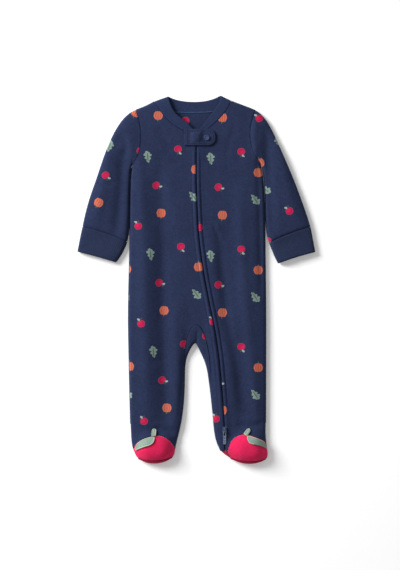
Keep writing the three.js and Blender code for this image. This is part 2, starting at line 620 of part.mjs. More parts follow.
const toeSeamLeft = curveThrough(TOE_SEAM_LEFT);
const toeSeamRight = curveThrough(TOE_SEAM_RIGHT);
const toeLeftSpread = spread(
  TOE_SEAM_LEFT.at(-1).x - TOE_SEAM_LEFT[0].x, WIDE.leg, EDGE_STEPS, EDGE_STEPS,
).map((place) => TOE_SEAM_LEFT[0].x + place);
const toeRightSpread = spread(
  TOE_SEAM_RIGHT.at(-1).x - TOE_SEAM_RIGHT[0].x, NARROW.total - 3, CORNER_STEPS.slice(0, 4), EDGE_STEPS,
).map((place) => TOE_SEAM_RIGHT[0].x + place);

// A row moved sideways: up for a row that runs to the right
function moved(row, amount) {
  return row.map((point, i) => {
    const before = row[Math.max(i - 1, 0)];
    const after = row[Math.min(i + 1, row.length - 1)];
    const length = Math.hypot(after.x - before.x, after.y - before.y);
    const upX = (before.y - after.y) / length;
    const upY = (after.x - before.x) / length;
    return shift(point, amount * upX, amount * upY);
  });
}

// A row of points on a toe seam, with its ends on the outline where they reach it
function toeRow(seam, places, lift, startLine, endLine) {
  const row = moved(places.map((x) => ({ x, y: lookup(seam, "x", "y", x) })), lift);
  if (startLine) row[0] = atHeight(startLine, TOE_SEAM_LEFT[0].y + 1.6 * lift);
  row[row.length - 1] = atHeight(endLine, seam.at(-1).y + 1.6 * lift);
  return row;
}

const sideRun = (line, from, to) => [0, ...ANKLE_STEPS].map((t) => atHeight(line, mix(from, to, t)));
const zipRun = (xAt, from, to) =>
  [0, ...ANKLE_STEPS].map((t) => ({ x: xAt(mix(from, to, t)), y: mix(from, to, t) }));

function yokeRows(top, armhole, foot, zipAt, isLeft) {
  const zipSide = ARMHOLE_STEPS.map((t) => {
    const y = mix(top.at(isLeft ? -1 : 0).y, foot[0].y, t);
    return { x: zipAt(y), y };
  });
  return isLeft
    ? patch(top, foot, armhole, zipSide, ARMHOLE_STEPS)
    : patch(top, foot, zipSide, armhole, ARMHOLE_STEPS);
}

function makeWidePanel() {
  const sheet = new Sheet();
  const joined = (y) => {
    const { leg, strip } = wideSpans(y);
    return [...leg, ...strip.slice(1)];
  };
  const armhole = armholePoints(ARMHOLE_LEFT, outerLeft, sideLeft, HALF_GAP);
  const chest = Array.from({ length: CHEST_ROWS + 1 }, (_, i) =>
    joined(mix(UNDERARM_Y, GUSSET_TOP, i / CHEST_ROWS)));
  sheet.grid(yokeRows(wideTop, armhole, chest[0], zipLeftX, true));
  sheet.grid(chest);
  const { leg, strip } = wideSpans(GUSSET_TOP);
  const legRows = LEFT_LEG_ROWS.map((y) =>
    legRow(y, atHeight(sideLeft, y).x, innerLegLeft(y), WIDE.leg, EDGE_STEPS, EDGE_STEPS));
  const toe = toeRow(toeSeamLeft, toeLeftSpread, HALF_GAP, sideLeft, innerLeft);
  const ankle = patch(
    legRows.at(-1), toe, sideRun(sideLeft, ANKLE_Y, toe[0].y), sideRun(innerLeft, ANKLE_Y, toe.at(-1).y),
    [0, ...ANKLE_STEPS],
  );
  sheet.grid([leg, ...legRows, ...ankle.slice(1)]);
  const stripRows = STRIP_ROWS.map((y) =>
    legRow(y, innerLegRight(y), zipLeftX(y), WIDE.strip, [0, 1.2, 4], WELT_STEPS));
  const stripInner = atHeight(innerRight, STRIP_FOOT).x;
  const stripOuter = zipLeftX(STRIP_FOOT);
  const stripFoot = legRow(STRIP_FOOT, stripInner, stripOuter, WIDE.strip, [0, 1.2, 4], WELT_STEPS);
  const stripAnkle = patch(
    stripRows.at(-1), stripFoot, sideRun(innerRight, ANKLE_Y, STRIP_FOOT),
    zipRun(zipLeftX, ANKLE_Y, STRIP_FOOT), [0, ...ANKLE_STEPS],
  );
  sheet.grid([strip, ...stripRows, ...stripAnkle.slice(1)]);
  return wall(sheet, weltHeight, inBy(WALL), HALF_GAP);
}

// The narrow front panel: from the zip to the right side seam
const NARROW_ROWS = 19;

function makeNarrowPanel() {
  const sheet = new Sheet();
  const row = (y) =>
    legRow(y, zipRightX(y), atHeight(sideRight, y).x, NARROW.total, WELT_STEPS, EDGE_STEPS);
  const armhole = armholePoints(ARMHOLE_RIGHT, outerRight, sideRight, -HALF_GAP);
  const top = SIDE_RIGHT[0].y;
  const rows = Array.from({ length: NARROW_ROWS + 1 }, (_, i) => row(mix(top, ANKLE_Y, i / NARROW_ROWS)));
  sheet.grid(yokeRows(narrowTop, armhole, rows[0], zipRightX, false));
  sheet.grid(rows);
  const toe = toeRow(toeSeamRight, toeRightSpread, HALF_GAP, null, sideRight);
  const zipEnd = [0, 1, 2].map((i) => ({
    x: mix(zipRightX(STRIP_FOOT), toe[0].x, i / 3),
    y: mix(STRIP_FOOT, toe[0].y, i / 3),
  }));
  const foot = [...zipEnd, ...toe];
  const ankle = patch(
    rows.at(-1), foot, zipRun(zipRightX, ANKLE_Y, STRIP_FOOT),
    sideRun(sideRight, ANKLE_Y, foot.at(-1).y), [0, ...ANKLE_STEPS],
  );
  sheet.grid(ankle);
  return wall(sheet, weltHeight, inBy(WALL), HALF_GAP);
}

// The crotch gusset: a crescent between its seam on the front and the outline between the legs
function makeGusset() {
  const seam = [
    ...[...GUSSET_LEFT].reverse().map((point) => shift(point, HALF_GAP, 0)),
    ...GUSSET_RIGHT.slice(1).map((point) => shift(point, -SEAM_GAP, 0)),
  ];
  const apexIndex = GUSSET_LEFT.length - 1;
  seam[apexIndex] = shift(GUSSET_LEFT[0], 0, -SEAM_GAP);
  const leftEdge = stretch(innerLeft, INNER_LEFT[0].y, GUSSET_END.left);
  const rightEdge = stretch(innerRight, INNER_RIGHT[0].y, GUSSET_END.right);
  const edge = seam.map((_, i) =>
    i <= apexIndex
      ? along([...leftEdge].reverse(), i / apexIndex)
      : along(rightEdge, (i - apexIndex) / (seam.length - 1 - apexIndex)));
  const across = [0, 0.3, 0.6, 0.82, 0.95, 1];
  const rows = across.map((t) => seam.map((start, i) => mixPoint(start, edge[i], t)));
  return wall(new Sheet().grid(rows), flush, inBy(WALL), HALF_GAP);
}

// The back panel lies on the floor and curls up to the side seams
const BACK = { shoulder: 3, leg: 8 };
const BACK_ROWS = [185, 150, 105, 60, 15, -30, -65, -88, -95.5, -98.4];
const CROTCH = INNER_LEFT[0];
const BACK_LEG_ROWS = [-103, -110.5, -121, -135, -155, -180, -205];
const SOLE_END = 1.2; // width of the sole's ends under the foot
const CUFF_GAP = 0.7; // the rib is thicker than the sleeve, so their seam stands wider
const BACK_GAP = 1.2; // between the back and the sole, under the foot
const CORNER_GAP = 1; // between the back and the neckband, where both meet the shoulder

const backNeckSeam = curveThrough(BACK_NECK_SEAM);
const backNeckX = spread(
  OUTER_RIGHT[2].x - OUTER_LEFT[2].x, 2 * (BACK.leg - BACK.shoulder), [0, 7], [0, 7],
).map((place) => OUTER_LEFT[2].x + place);
const backNeckPoints = backNeckX.map((x) => ({ x, y: lookup(backNeckSeam, "x", "y", x) }));

// The sole's upper seam, a point for each line of the toe cap above it
const SOLE_SEAMS = {
  left: { turns: SOLE_SEAM_LEFT, count: WIDE.leg, start: [0, 1.4, 4, 8] },
  right: { turns: SOLE_SEAM_RIGHT, count: NARROW.total - 3, start: [0, 4] },
};

function soleSeam(side) {
  const { turns, count, start } = SOLE_SEAMS[side];
  const seam = curveThrough(turns);
  return spread(turns.at(-1).x - turns[0].x, count, start, [0, 1.4, 4, 8]).map((place) => {
    const x = turns[0].x + place;
    return { x, y: lookup(seam, "x", "y", x) };
  });
}

// Ribs of a sole: each has its foot on the outline, its way in and how far up its seam is
function soleRibs(side) {
  const instep = curveThrough(TOE_INSTEP_RIGHT, 3);
  const startLine = side === "left" ? sideLeft : innerRight;
  const endLine = side === "left" ? innerLeft : sideRight;
  const heel = [0, 0.5, 1].map((t) => ({ x: mix(37.6, 48.6, t), y: STRIP_FOOT - SEAM_GAP }));
  const seam = side === "left"
    ? soleSeam("left").map((point) => shift(point, 0, -SEAM_GAP))
    : [
      ...heel,
      ...instep.slice(1, -1).map((point) => shift(point, -SEAM_GAP, -0.2)),
      ...soleSeam("right").map((point) => shift(point, -0.1, -SEAM_GAP)),
    ];
  seam[0] = onOutline(startLine, seam[0]);
  seam[seam.length - 1] = onOutline(endLine, seam.at(-1));
  const ends = [seam[0], seam.at(-1)].map((end) => {
    const edge = nearestEdge(end.x, end.y);
    return shift(end, edge.inX * SOLE_END, edge.inY * SOLE_END);
  });
  return seam.map((top) => {
    const { footX, footY } = nearestEdge(top.x, top.y);
    const rim = { x: footX, y: footY };
    const under = mixPoint(ends[0], ends[1], (footX - seam[0].x) / (seam.at(-1).x - seam[0].x));
    return { top, rim, under };
  });
}

function makeSole(side) {
  const ribs = soleRibs(side);
  const upper = [1, 0.6, 0.3, 0.12, 0].map((t) => ribs.map(({ top, rim }) => mixPoint(rim, top, t)));
  const lower = [0.1, 0.34, 1].map((t) =>
    ribs.map(({ rim, under }) => ({ ...mixPoint(rim, under, t), under: true })));
  return wall(new Sheet().grid([...upper, ...lower]), flush, inBy(WALL));
}

function backFoot(side, count) {
  const ribs = soleRibs(side);
  const start = shift(ribs[0].under, 0, BACK_GAP);
  const end = shift(ribs.at(-1).under, 0, BACK_GAP);
  const row = spread(1, count, [0, 0.04], [0, 0.04]).map((t) => mixPoint(start, end, t));
  row[0] = atHeight(side === "left" ? sideLeft : innerRight, start.y);
  row[count] = atHeight(side === "left" ? innerLeft : sideRight, end.y);
  return row;
}

const asUnder = (rows) => rows.map((row) => row.map((point) => ({ ...point, under: true })));

function makeBackPanel() {
  const half = BACK.leg;
  const top = [
    ...Array.from({ length: BACK.shoulder }, (_, i) => {
      const x = mix(OUTER_LEFT[4].x + HALF_GAP, OUTER_LEFT[2].x, i / BACK.shoulder);
      return { x, y: lookup(outerLeft, "x", "y", x) };
    }),
    ...backNeckPoints.map((point, i) =>
      (i === 0 || i === backNeckPoints.length - 1 ? point : shift(point, 0, -SEAM_GAP))),
    ...Array.from({ length: BACK.shoulder }, (_, i) => {
      const x = mix(OUTER_RIGHT[2].x, OUTER_RIGHT[4].x - HALF_GAP, (i + 1) / BACK.shoulder);
      return { x, y: lookup(outerRight, "x", "y", x) };
    }),
  ];
  const cornerLeft = OUTER_LEFT[2].x - CORNER_GAP;
  const cornerRight = OUTER_RIGHT[2].x + CORNER_GAP;
  top[BACK.shoulder] = { x: cornerLeft, y: lookup(outerLeft, "x", "y", cornerLeft) };
  top[top.length - 1 - BACK.shoulder] = { x: cornerRight, y: lookup(outerRight, "x", "y", cornerRight) };
  const row = (y) => {
    const crowd = smooth(-30, -95, y);
    const left = atHeight(sideLeft, y).x;
    const right = atHeight(sideRight, y).x;
    const half1 = spread(CROTCH.x - left, half, BACK_STEPS, [0]);
    const half1Crowded = spread(CROTCH.x - left, half, BACK_STEPS, BACK_STEPS);
    const half2 = spread(right - CROTCH.x, half, [0], BACK_STEPS);
    const half2Crowded = spread(right - CROTCH.x, half, BACK_STEPS, BACK_STEPS);
    return [
      ...half1.map((place, i) => ({ x: left + mix(place, half1Crowded[i], crowd), y })),
      ...half2.slice(1).map((place, i) => ({ x: CROTCH.x + mix(place, half2Crowded[i + 1], crowd), y })),
    ];
  };
  const sheet = new Sheet();
  const chest = [...BACK_ROWS, CROTCH.y].map(row);
  const armLeft = armholePoints(ARMHOLE_LEFT, outerLeft, sideLeft, HALF_GAP);
  const armRight = armholePoints(ARMHOLE_RIGHT, outerRight, sideRight, -HALF_GAP);
  chest[0][chest[0].length - 1] = armRight.at(-1);
  sheet.grid(asUnder(patch(top, chest[0], armLeft, armRight, ARMHOLE_STEPS)));
  sheet.grid(asUnder(chest));
  const crotchRow = chest.at(-1);
  const legs = [
    { side: "left", start: crotchRow.slice(0, half + 1), outer: sideLeft, inner: innerLeft },
    { side: "right", start: crotchRow.slice(half), outer: innerRight, inner: sideRight },
  ];
  for (const { side, start, outer, inner } of legs) {
    const rows = BACK_LEG_ROWS.map((y) =>
      legRow(y, atHeight(outer, y).x, atHeight(inner, y).x, half, BACK_STEPS, BACK_STEPS));
    const foot = backFoot(side, half);
    const last = BACK_LEG_ROWS.at(-1);
    const ankle = patch(
      rows.at(-1), foot, sideRun(outer, last, foot[0].y), sideRun(inner, last, foot.at(-1).y),
      [0, ...ANKLE_STEPS],
    );
    sheet.grid(asUnder([start, ...rows, ...ankle.slice(1)]));
  }
  return wall(sheet, flush, inBy(WALL), -HALF_GAP);
}

// A flat tube, as rings that go over the top and back underneath
function tube(rows) {
  const rings = rows.map((row) => {
    const under = [...row].reverse().slice(1).map((point) => ({ ...point, under: true }));
    return [...row, ...under];
  });
  return new Sheet().grid(rings);
}

const SLEEVES = {
  left: {
    armhole: ARMHOLE_LEFT, outer: outerLeft, inner: innerSleeveLeft, seam: CUFF_SEAM_LEFT,
    hem: CUFF_HEM_LEFT, away: -1, tip: OUTER_LEFT[4],
  },
  right: {
    armhole: ARMHOLE_RIGHT, outer: outerRight, inner: innerSleeveRight, seam: CUFF_SEAM_RIGHT,
    hem: CUFF_HEM_RIGHT, away: 1, tip: OUTER_RIGHT[4],
  },
};

const lineAt = (line, steps) => steps.map((step) => along(line, step));

// A row across the sleeve at its cuff, with its ends on the outline
function cuffRow(sleeve, rows, dy) {
  const line = curveThrough(rows);
  return ARMHOLE_STEPS.map((step, i) => {
    const point = shift(along(line, step), 0, dy);
    if (i === 0) return onOutline(sleeve.outer, point);
    if (i === ARMHOLE_STEPS.length - 1) return onOutline(sleeve.inner, point);
    return point;
  });
}

function makeSleeve(side) {
  const sleeve = SLEEVES[side];
  const top = armholePoints(sleeve.armhole, sleeve.outer, sleeve.inner, sleeve.away * HALF_GAP);
  const foot = cuffRow(sleeve, sleeve.seam, CUFF_GAP / 2);
  const outer = lineAt(stretch(sleeve.outer, top[0].y, foot[0].y), SLEEVE_STEPS);
  const inner = lineAt(stretch(sleeve.inner, sleeve.inner[0].y, foot.at(-1).y), SLEEVE_STEPS);
  return wall(tube(sleevePatch(top, foot, outer, inner)), flush, inBy(WALL));
}

function makeCuff(side) {
  const sleeve = SLEEVES[side];
  const top = cuffRow(sleeve, sleeve.seam, -CUFF_GAP / 2);
  const foot = cuffRow(sleeve, sleeve.hem, 0.05);
  const outer = lineAt(stretch(sleeve.outer, top[0].y, foot[0].y), CUFF_STEPS);
  const inner = lineAt(stretch(sleeve.inner, top.at(-1).y, foot.at(-1).y), CUFF_STEPS);
  return wall(tube(patch(top, foot, outer, inner, CUFF_STEPS)), flush, inBy(RIB_WALL));
}

// The neckband: a folded strip from the zip round the back of the neck to the zip again
const FOLD_STEPS = [0.012, 0.04, 0.09];

function bandFractions(row) {
  const lengths = [0];
  for (let i = 1; i < row.length; i += 1) {
    lengths.push(lengths[i - 1] + Math.hypot(row[i].x - row[i - 1].x, row[i].y - row[i - 1].y));
  }
  return lengths.map((length) => length / lengths.at(-1));
}

function makeNeckband() {
  const lift = 2 * NECK_DROP;
  const seamLeft = wideTop.slice(WIDE.shoulder)
    .map((point, i) => (i === 0 ? point : shift(point, 0, lift)));
  const seamRight = narrowTop.slice(0, NARROW.total - NARROW.shoulder + 1)
    .map((point, i, row) => (i === row.length - 1 ? point : shift(point, 0, lift)));
  const edgeLeft = curveThrough(NECK_EDGE_LEFT);
  const edgeRight = curveThrough(NECK_EDGE_RIGHT);
  const leftPart = bandFractions(seamLeft);
  const rightPart = bandFractions(seamRight);
  const pair = (seam, edge, under) => ({ seam: { ...seam, under }, edge: { ...edge, under } });
  const frontLeft = seamLeft
    .map((point, i) => pair(point, along(edgeLeft, leftPart[i]), false))
    .reverse();
  const frontRight = seamRight
    .map((point, i) => pair(point, along(edgeRight, rightPart[i]), false));
  const backEdge = curveThrough(BACK_NECK_EDGE);
  const inner = [
    ...FOLD_STEPS, ...backNeckPoints.slice(1, -1).map((_, i) => (i + 1) / (backNeckPoints.length - 1)),
    ...FOLD_STEPS.map((step) => 1 - step).reverse(),
  ].sort((a, b) => a - b);
  const backWidth = OUTER_RIGHT[2].x - OUTER_LEFT[2].x;
  const back = inner.map((step) => {
    const x = OUTER_LEFT[2].x + step * backWidth;
    return pair({ x, y: lookup(backNeckPoints, "x", "y", x) }, along(backEdge, step), true);
  });
  const ordered = [...frontLeft, ...back, ...[...frontRight].reverse()];
  const foldLeft = stretch(outerLeft, OUTER_LEFT[0].y, OUTER_LEFT[2].y).reverse();
  const foldRight = stretch(outerRight, OUTER_RIGHT[0].y, OUTER_RIGHT[2].y).reverse();
  const rows = ordered.map((section, i) =>
    ACROSS_STEPS.map((t) => {
      if (i === frontLeft.length - 1) return along(foldLeft, t);
      if (i === frontLeft.length + back.length) return along(foldRight, t);
      return { ...mixPoint(section.seam, section.edge, t), under: section.seam.under };
    }));
  return wall(new Sheet().grid(rows), flush, inBy(RIB_WALL));
}

// A toe cap: a dome between the toe seam and the sole's seam
function makeToeCap(side) {
  const isLeft = side === "left";
  const top = isLeft
    ? toeRow(toeSeamLeft, toeLeftSpread, -HALF_GAP, sideLeft, innerLeft)
    : toeRow(toeSeamRight, toeRightSpread, -HALF_GAP, null, sideRight);
  const foot = soleSeam(side);
  const rightLine = isLeft ? innerLeft : sideRight;
  if (isLeft) foot[0] = onOutline(sideLeft, foot[0]);
  foot[foot.length - 1] = onOutline(rightLine, foot.at(-1));
  const steps = [0, 0.12, 0.3, 0.5, 0.7, 0.88, 1];
  const instep = curveThrough(TOE_INSTEP_RIGHT);
  const left = steps.map((t, i) => {
    if (i === 0) return top[0];
    if (i === steps.length - 1) return foot[0];
    return isLeft ? atHeight(sideLeft, mix(top[0].y, foot[0].y, t)) : along(instep, t);
  });
  const right = steps.map((t) => atHeight(rightLine, mix(top.at(-1).y, foot.at(-1).y, t)));
  return wall(new Sheet().grid(patch(top, foot, left, right, steps)), flush, inBy(WALL), HALF_GAP);
}

// The leaf sewn on a toe cap, and its stem above
const APPLIQUE_LIFT = 0.5;
const STEM_LIFT = 0.9;

function makeLeaf(rows) {
  const upper = curveThrough(rows.map((row) => ({ x: row.upperX, y: row.upperY })), 2);
  const lower = curveThrough(rows.map((row) => ({ x: row.lowerX, y: row.lowerY })), 2);
  const grid = upper.map((point, i) => ACROSS_STEPS.map((t) => mixPoint(point, lower[i], t)));
  return wall(new Sheet().grid(grid), () => APPLIQUE_LIFT + LEAF_THICKNESS, () => APPLIQUE_LIFT);
}

function makeStem({ x1, y1, x2, y2, half }) {
  const length = Math.hypot(x2 - x1, y2 - y1);
  const wayX = (x2 - x1) / length;
  const wayY = (y2 - y1) / length;
  const steps = [0, 0.35, 0.7, 0.86, 0.96, 1];
  const rows = steps.map((t) => {
    const rest = Math.max(0, t * length - (length - half)) / half;
    const width = half * Math.sqrt(Math.max(1 - rest * rest, 0.06));
    return [-1, -0.4, 0.4, 1].map((side) => ({
      x: x1 + wayX * length * t - wayY * width * side,
      y: y1 + wayY * length * t + wayX * width * side,
    }));
  });
  return wall(new Sheet().grid(rows), () => STEM_LIFT + STEM_THICKNESS, () => STEM_LIFT);
}

// The zip's tape with the closed coil along its middle, behind the slit
function makeZipChain() {
  const step = TAPE.coilHalf + 0.5;
  const offsets = [-TAPE.half, -step, -TAPE.coilHalf, TAPE.coilHalf, step, TAPE.half];
  const rows = spread(TAPE.top - TAPE.foot, TAPE.rows, [0], [0, 4, 9, 15, 22, 30]).map((place) => {
    const y = TAPE.top - place;
    return offsets.map((offset) => ({ x: zipX(y) + offset, y, offset }));
  });
  const coilTop = WALL + 0.6;
  const tapeTop = coilTop + TAPE.coilHeight;
  const onCoil = (point) => Math.abs(point.offset) <= TAPE.coilHalf;
  return wall(
    new Sheet().grid(rows),
    (point) => (onCoil(point) ? -coilTop : -tapeTop),
    () => -tapeTop - TAPE.thickness,
  );
}

// The tab that guards the zip's top, snapped over to the right
function tabLift({ x, y }) {
  const overSlider = 1 - smooth(5.5, 11, Math.hypot(x - zipX(y), y - SLIDER_TOP_Y));
  const overZip = 1 - smooth(7.6, 11, Math.abs(x - zipX(y)));
  return 0.4 + Math.max(3.8 * overSlider, 1.1 * overZip);
}

function makeTab() {
  const width = TAB.right - TAB.left;
  const places = spread(width, 14, [0, 3], [0, 0.5, 2, 5, 9]);
  const rows = places.map((place) => {
    const x = TAB.left + place;
    const past = Math.max(0, x - (TAB.right - TAB.corner)) / TAB.corner;
    const half = TAB.half * Math.max(1 - past ** 2.4, 0.02) ** (1 / 2.4);
    return [-1, -0.72, -0.36, 0, 0.36, 0.72, 1].map((side) => ({ x, y: TAB.middle + half * side }));
  });
  return wall(new Sheet().grid(rows), (point) => tabLift(point) + TAB.thickness, tabLift);
}

function makeSnap() {
  const profile = [
    [0, 0], [SNAP.radius, 0], [SNAP.radius, SNAP.height * 0.6], [SNAP.radius - 0.5, SNAP.height],
    [SNAP.radius - SNAP.rim, SNAP.height], [SNAP.radius - SNAP.rim - 0.5, SNAP.height * 0.5],
    [0, SNAP.height * 0.5],
  ].map(([radius, height]) => new THREE.Vector2(radius, height));
  const geometry = new THREE.LatheGeometry(profile, 24).rotateX(Math.PI / 2);
  const spots = [-1, 0, 1].flatMap((i) => [-1, 0, 1].map((j) => ({
    x: SNAP.x + i * SNAP.radius, y: SNAP.y + j * SNAP.radius,
  })));
  const seat = Math.max(...spots.map((point) => {
    const { place, normal } = surface(point);
    return place.addScaledVector(normal, tabLift(point) + TAB.thickness).z;
  }));
  return geometry.translate(SNAP.x, SNAP.y, seat + 0.6);
}

// Hardware of the zip. Booleans join the plate, neck and bridge of a slider.
const wasm = await Module();
wasm.setup();

function solidFrom(geometry) {
  const bare = geometry.clone();
  bare.deleteAttribute("normal");
  bare.deleteAttribute("uv");
  const merged = mergeVertices(bare, 1e-5);
  return new wasm.Manifold(new wasm.Mesh({
    numProp: 3,
    vertProperties: new Float32Array(merged.attributes.position.array),
    triVerts: new Uint32Array(merged.index.array),
  }));
}

function geometryOf(solid) {
  const mesh = solid.getMesh();
  const geometry = new THREE.BufferGeometry();
  geometry.setAttribute("position", new THREE.BufferAttribute(mesh.vertProperties, 3));
  geometry.setIndex(new THREE.BufferAttribute(mesh.triVerts, 1));
  geometry.computeVertexNormals();
  return geometry;
}

function roundedShape(width, length, corner) {
  const shape = new THREE.Shape();
  const w = width / 2;
  const l = length / 2;
  shape.moveTo(-w + corner, -l);
  shape.lineTo(w - corner, -l);
  shape.quadraticCurveTo(w, -l, w, -l + corner);
  shape.lineTo(w, l - corner);
  shape.quadraticCurveTo(w, l, w - corner, l);
  shape.lineTo(-w + corner, l);
  shape.quadraticCurveTo(-w, l, -w, l - corner);
  shape.lineTo(-w, -l + corner);
  shape.quadraticCurveTo(-w, -l, -w + corner, -l);
  return shape;
}

const extruded = (shape, depth) =>
  new THREE.ExtrudeGeometry(shape, { depth, bevelEnabled: false, curveSegments: 4 });

// A slider lies on the welts: its neck goes down the slit, and its bridge holds the pull
const sliderSeat = (y) => {
  const spots = [-0.5, 0, 0.5].flatMap((i) => [-0.5, 0, 0.5].map((j) => ({
    x: zipX(y) + i * SLIDER.width, y: y + j * SLIDER.length,
  })));
  return Math.max(...spots.map(({ x, y: spotY }) => frontHeight(x, spotY))) + WELT.height + 0.6;
};
const NECK_DEPTH = 2.6;

function makeSlider(y, withBridge) {
  const plate = extruded(roundedShape(SLIDER.width, SLIDER.length, 1.8), SLIDER.plate);
  const neck = new THREE.BoxGeometry(SLIDER.neck, SLIDER.length * 0.5, NECK_DEPTH + 0.5)
    .translate(0, 0, 0.5 - (NECK_DEPTH + 0.5) / 2);
  let solid = solidFrom(plate).add(solidFrom(neck));
  if (withBridge) {
    const half = BRIDGE.length / 2;
    const rise = BRIDGE.clear + BRIDGE.bar;
    const arch = new THREE.Shape([
      [-half, -0.5], [-half, rise - 1], [-half + 1, rise], [half - 1, rise], [half, rise - 1],
      [half, -0.5], [half - BRIDGE.bar, -0.5], [half - BRIDGE.bar, BRIDGE.clear],
      [-half + BRIDGE.bar, BRIDGE.clear], [-half + BRIDGE.bar, -0.5],
    ].map(([run, height]) => new THREE.Vector2(run, height)));
    const bar = extruded(arch, BRIDGE.width)
      .translate(0, 0, -BRIDGE.width / 2)
      .rotateX(Math.PI / 2)
      .rotateZ(Math.PI / 2)
      .translate(0, 0, SLIDER.plate);
    solid = solid.add(solidFrom(bar));
  }
  return geometryOf(solid).translate(zipX(y), y, sliderSeat(y));
}

// The pull hangs from the bridge by its eye and lies along the leg towards the foot
const HINGE = {
  x: zipX(SLIDER_LOW_Y),
  y: SLIDER_LOW_Y - BRIDGE.length / 2 + BRIDGE.bar + PULL.arm / 2 + 0.45,
  z: sliderSeat(SLIDER_LOW_Y) + SLIDER.plate + BRIDGE.clear / 2,
};

function pullTilt() {
  const clear = WELT.height + 0.35 + PULL.thickness / 2;
  let tilt = -Math.PI / 2;
  for (let reach = 5; reach <= PULL.length; reach += 1) {
    for (const side of [-1, 0, 1]) {
      const height = frontHeight(HINGE.x + (side * PULL.width) / 2, HINGE.y - reach) + clear;
      tilt = Math.max(tilt, Math.atan2(height - HINGE.z, reach));
    }
  }
  return tilt;
}

function makePull() {
  const shape = roundedShape(PULL.width, PULL.length, 1.6);
  const eye = new THREE.Path();
  const top = PULL.length / 2 - PULL.arm;
  const w = PULL.eyeWidth / 2;
  eye.moveTo(-w, top);
  eye.lineTo(-w, top - PULL.eyeLength);
  eye.lineTo(w, top - PULL.eyeLength);
  eye.lineTo(w, top);
  eye.lineTo(-w, top);
  shape.holes.push(eye);
  return extruded(shape, PULL.thickness)
    .translate(0, -PULL.length / 2 + PULL.arm / 2, -PULL.thickness / 2)
    .rotateX(-pullTilt())
    .translate(HINGE.x, HINGE.y, HINGE.z);
}

const MATERIALS = {
  fleece: new THREE.MeshStandardMaterial({ color: "#2c3a5a", roughness: 0.95, metalness: 0 }),
  rib: new THREE.MeshStandardMaterial({ color: "#2a3455", roughness: 0.9, metalness: 0 }),
  crimson: new THREE.MeshStandardMaterial({ color: "#c8254f", roughness: 0.9, metalness: 0 }),
  sole: new THREE.MeshStandardMaterial({ color: "#ad2346", roughness: 0.9, metalness: 0 }),
  sage: new THREE.MeshStandardMaterial({ color: "#8fac9c", roughness: 0.9, metalness: 0 }),
  tape: new THREE.MeshStandardMaterial({ color: "#1d2740", roughness: 0.7, metalness: 0 }),
  snap: new THREE.MeshStandardMaterial({ color: "#33415f", roughness: 0.45, metalness: 0 }),
  metal: new THREE.MeshStandardMaterial({ color: "#4b566f", roughness: 0.35, metalness: 0.7 }),
};

const PIECES = [
  { name: "back_panel", geometry: makeBackPanel(), material: MATERIALS.fleece },
  { name: "front_panel_wide", geometry: makeWidePanel(), material: MATERIALS.fleece },
  { name: "front_panel_narrow", geometry: makeNarrowPanel(), material: MATERIALS.fleece },
  { name: "gusset", geometry: makeGusset(), material: MATERIALS.fleece },
  { name: "sleeve_left", geometry: makeSleeve("left"), material: MATERIALS.fleece },
  { name: "sleeve_right", geometry: makeSleeve("right"), material: MATERIALS.fleece },
  { name: "cuff_left", geometry: makeCuff("left"), material: MATERIALS.rib },
  { name: "cuff_right", geometry: makeCuff("right"), material: MATERIALS.rib },
  { name: "neckband", geometry: makeNeckband(), material: MATERIALS.rib },
  { name: "toe_cap_left", geometry: makeToeCap("left"), material: MATERIALS.crimson },
  { name: "toe_cap_right", geometry: makeToeCap("right"), material: MATERIALS.crimson },
  { name: "sole_left", geometry: makeSole("left"), material: MATERIALS.sole },
  { name: "sole_right", geometry: makeSole("right"), material: MATERIALS.sole },
  { name: "leaf_left", geometry: makeLeaf(LEAF_LEFT), material: MATERIALS.sage },
  { name: "leaf_right", geometry: makeLeaf(LEAF_RIGHT), material: MATERIALS.sage },
  { name: "stem_left", geometry: makeStem(STEMS.left), material: MATERIALS.sage },
  { name: "stem_right", geometry: makeStem(STEMS.right), material: MATERIALS.sage },
  { name: "zip_chain", geometry: makeZipChain(), material: MATERIALS.tape },
  { name: "zip_slider_top", geometry: makeSlider(SLIDER_TOP_Y, false), material: MATERIALS.metal },
  { name: "zip_slider_low", geometry: makeSlider(SLIDER_LOW_Y, true), material: MATERIALS.metal },
  { name: "zip_pull", geometry: makePull(), material: MATERIALS.metal },
  { name: "zip_tab", geometry: makeTab(), material: MATERIALS.fleece },
  { name: "snap", geometry: makeSnap(), material: MATERIALS.snap },
];

const onesie = new THREE.Group();
for (const { name, geometry, material } of PIECES) {
  const mesh = new THREE.Mesh(geometry, material);
  mesh.name = name;
  onesie.add(mesh);
}

// The origin is under the middle of the whole garment, on the surface that it lies on
const box = new THREE.Box3().setFromObject(onesie);
const centre = box.getCenter(new THREE.Vector3());
onesie.position.set(-centre.x, -centre.y, -box.min.z);

export default onesie;
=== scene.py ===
# %% [markdown]
# # A baby's footed fleece sleeper, laid flat on a table
# The garment is cut from printed microfleece and lies on its back, so nothing holds it up.
# The frame that loads first holds every maker's piece at its true size. This lesson gives each
# piece its cloth, its soft folds, its sewing and its print, and never changes the frame.

# %% The frame and the tools
import math

import bmesh
import bpy
import numpy as np
from mathutils import Matrix, Vector
from mathutils.bvhtree import BVHTree


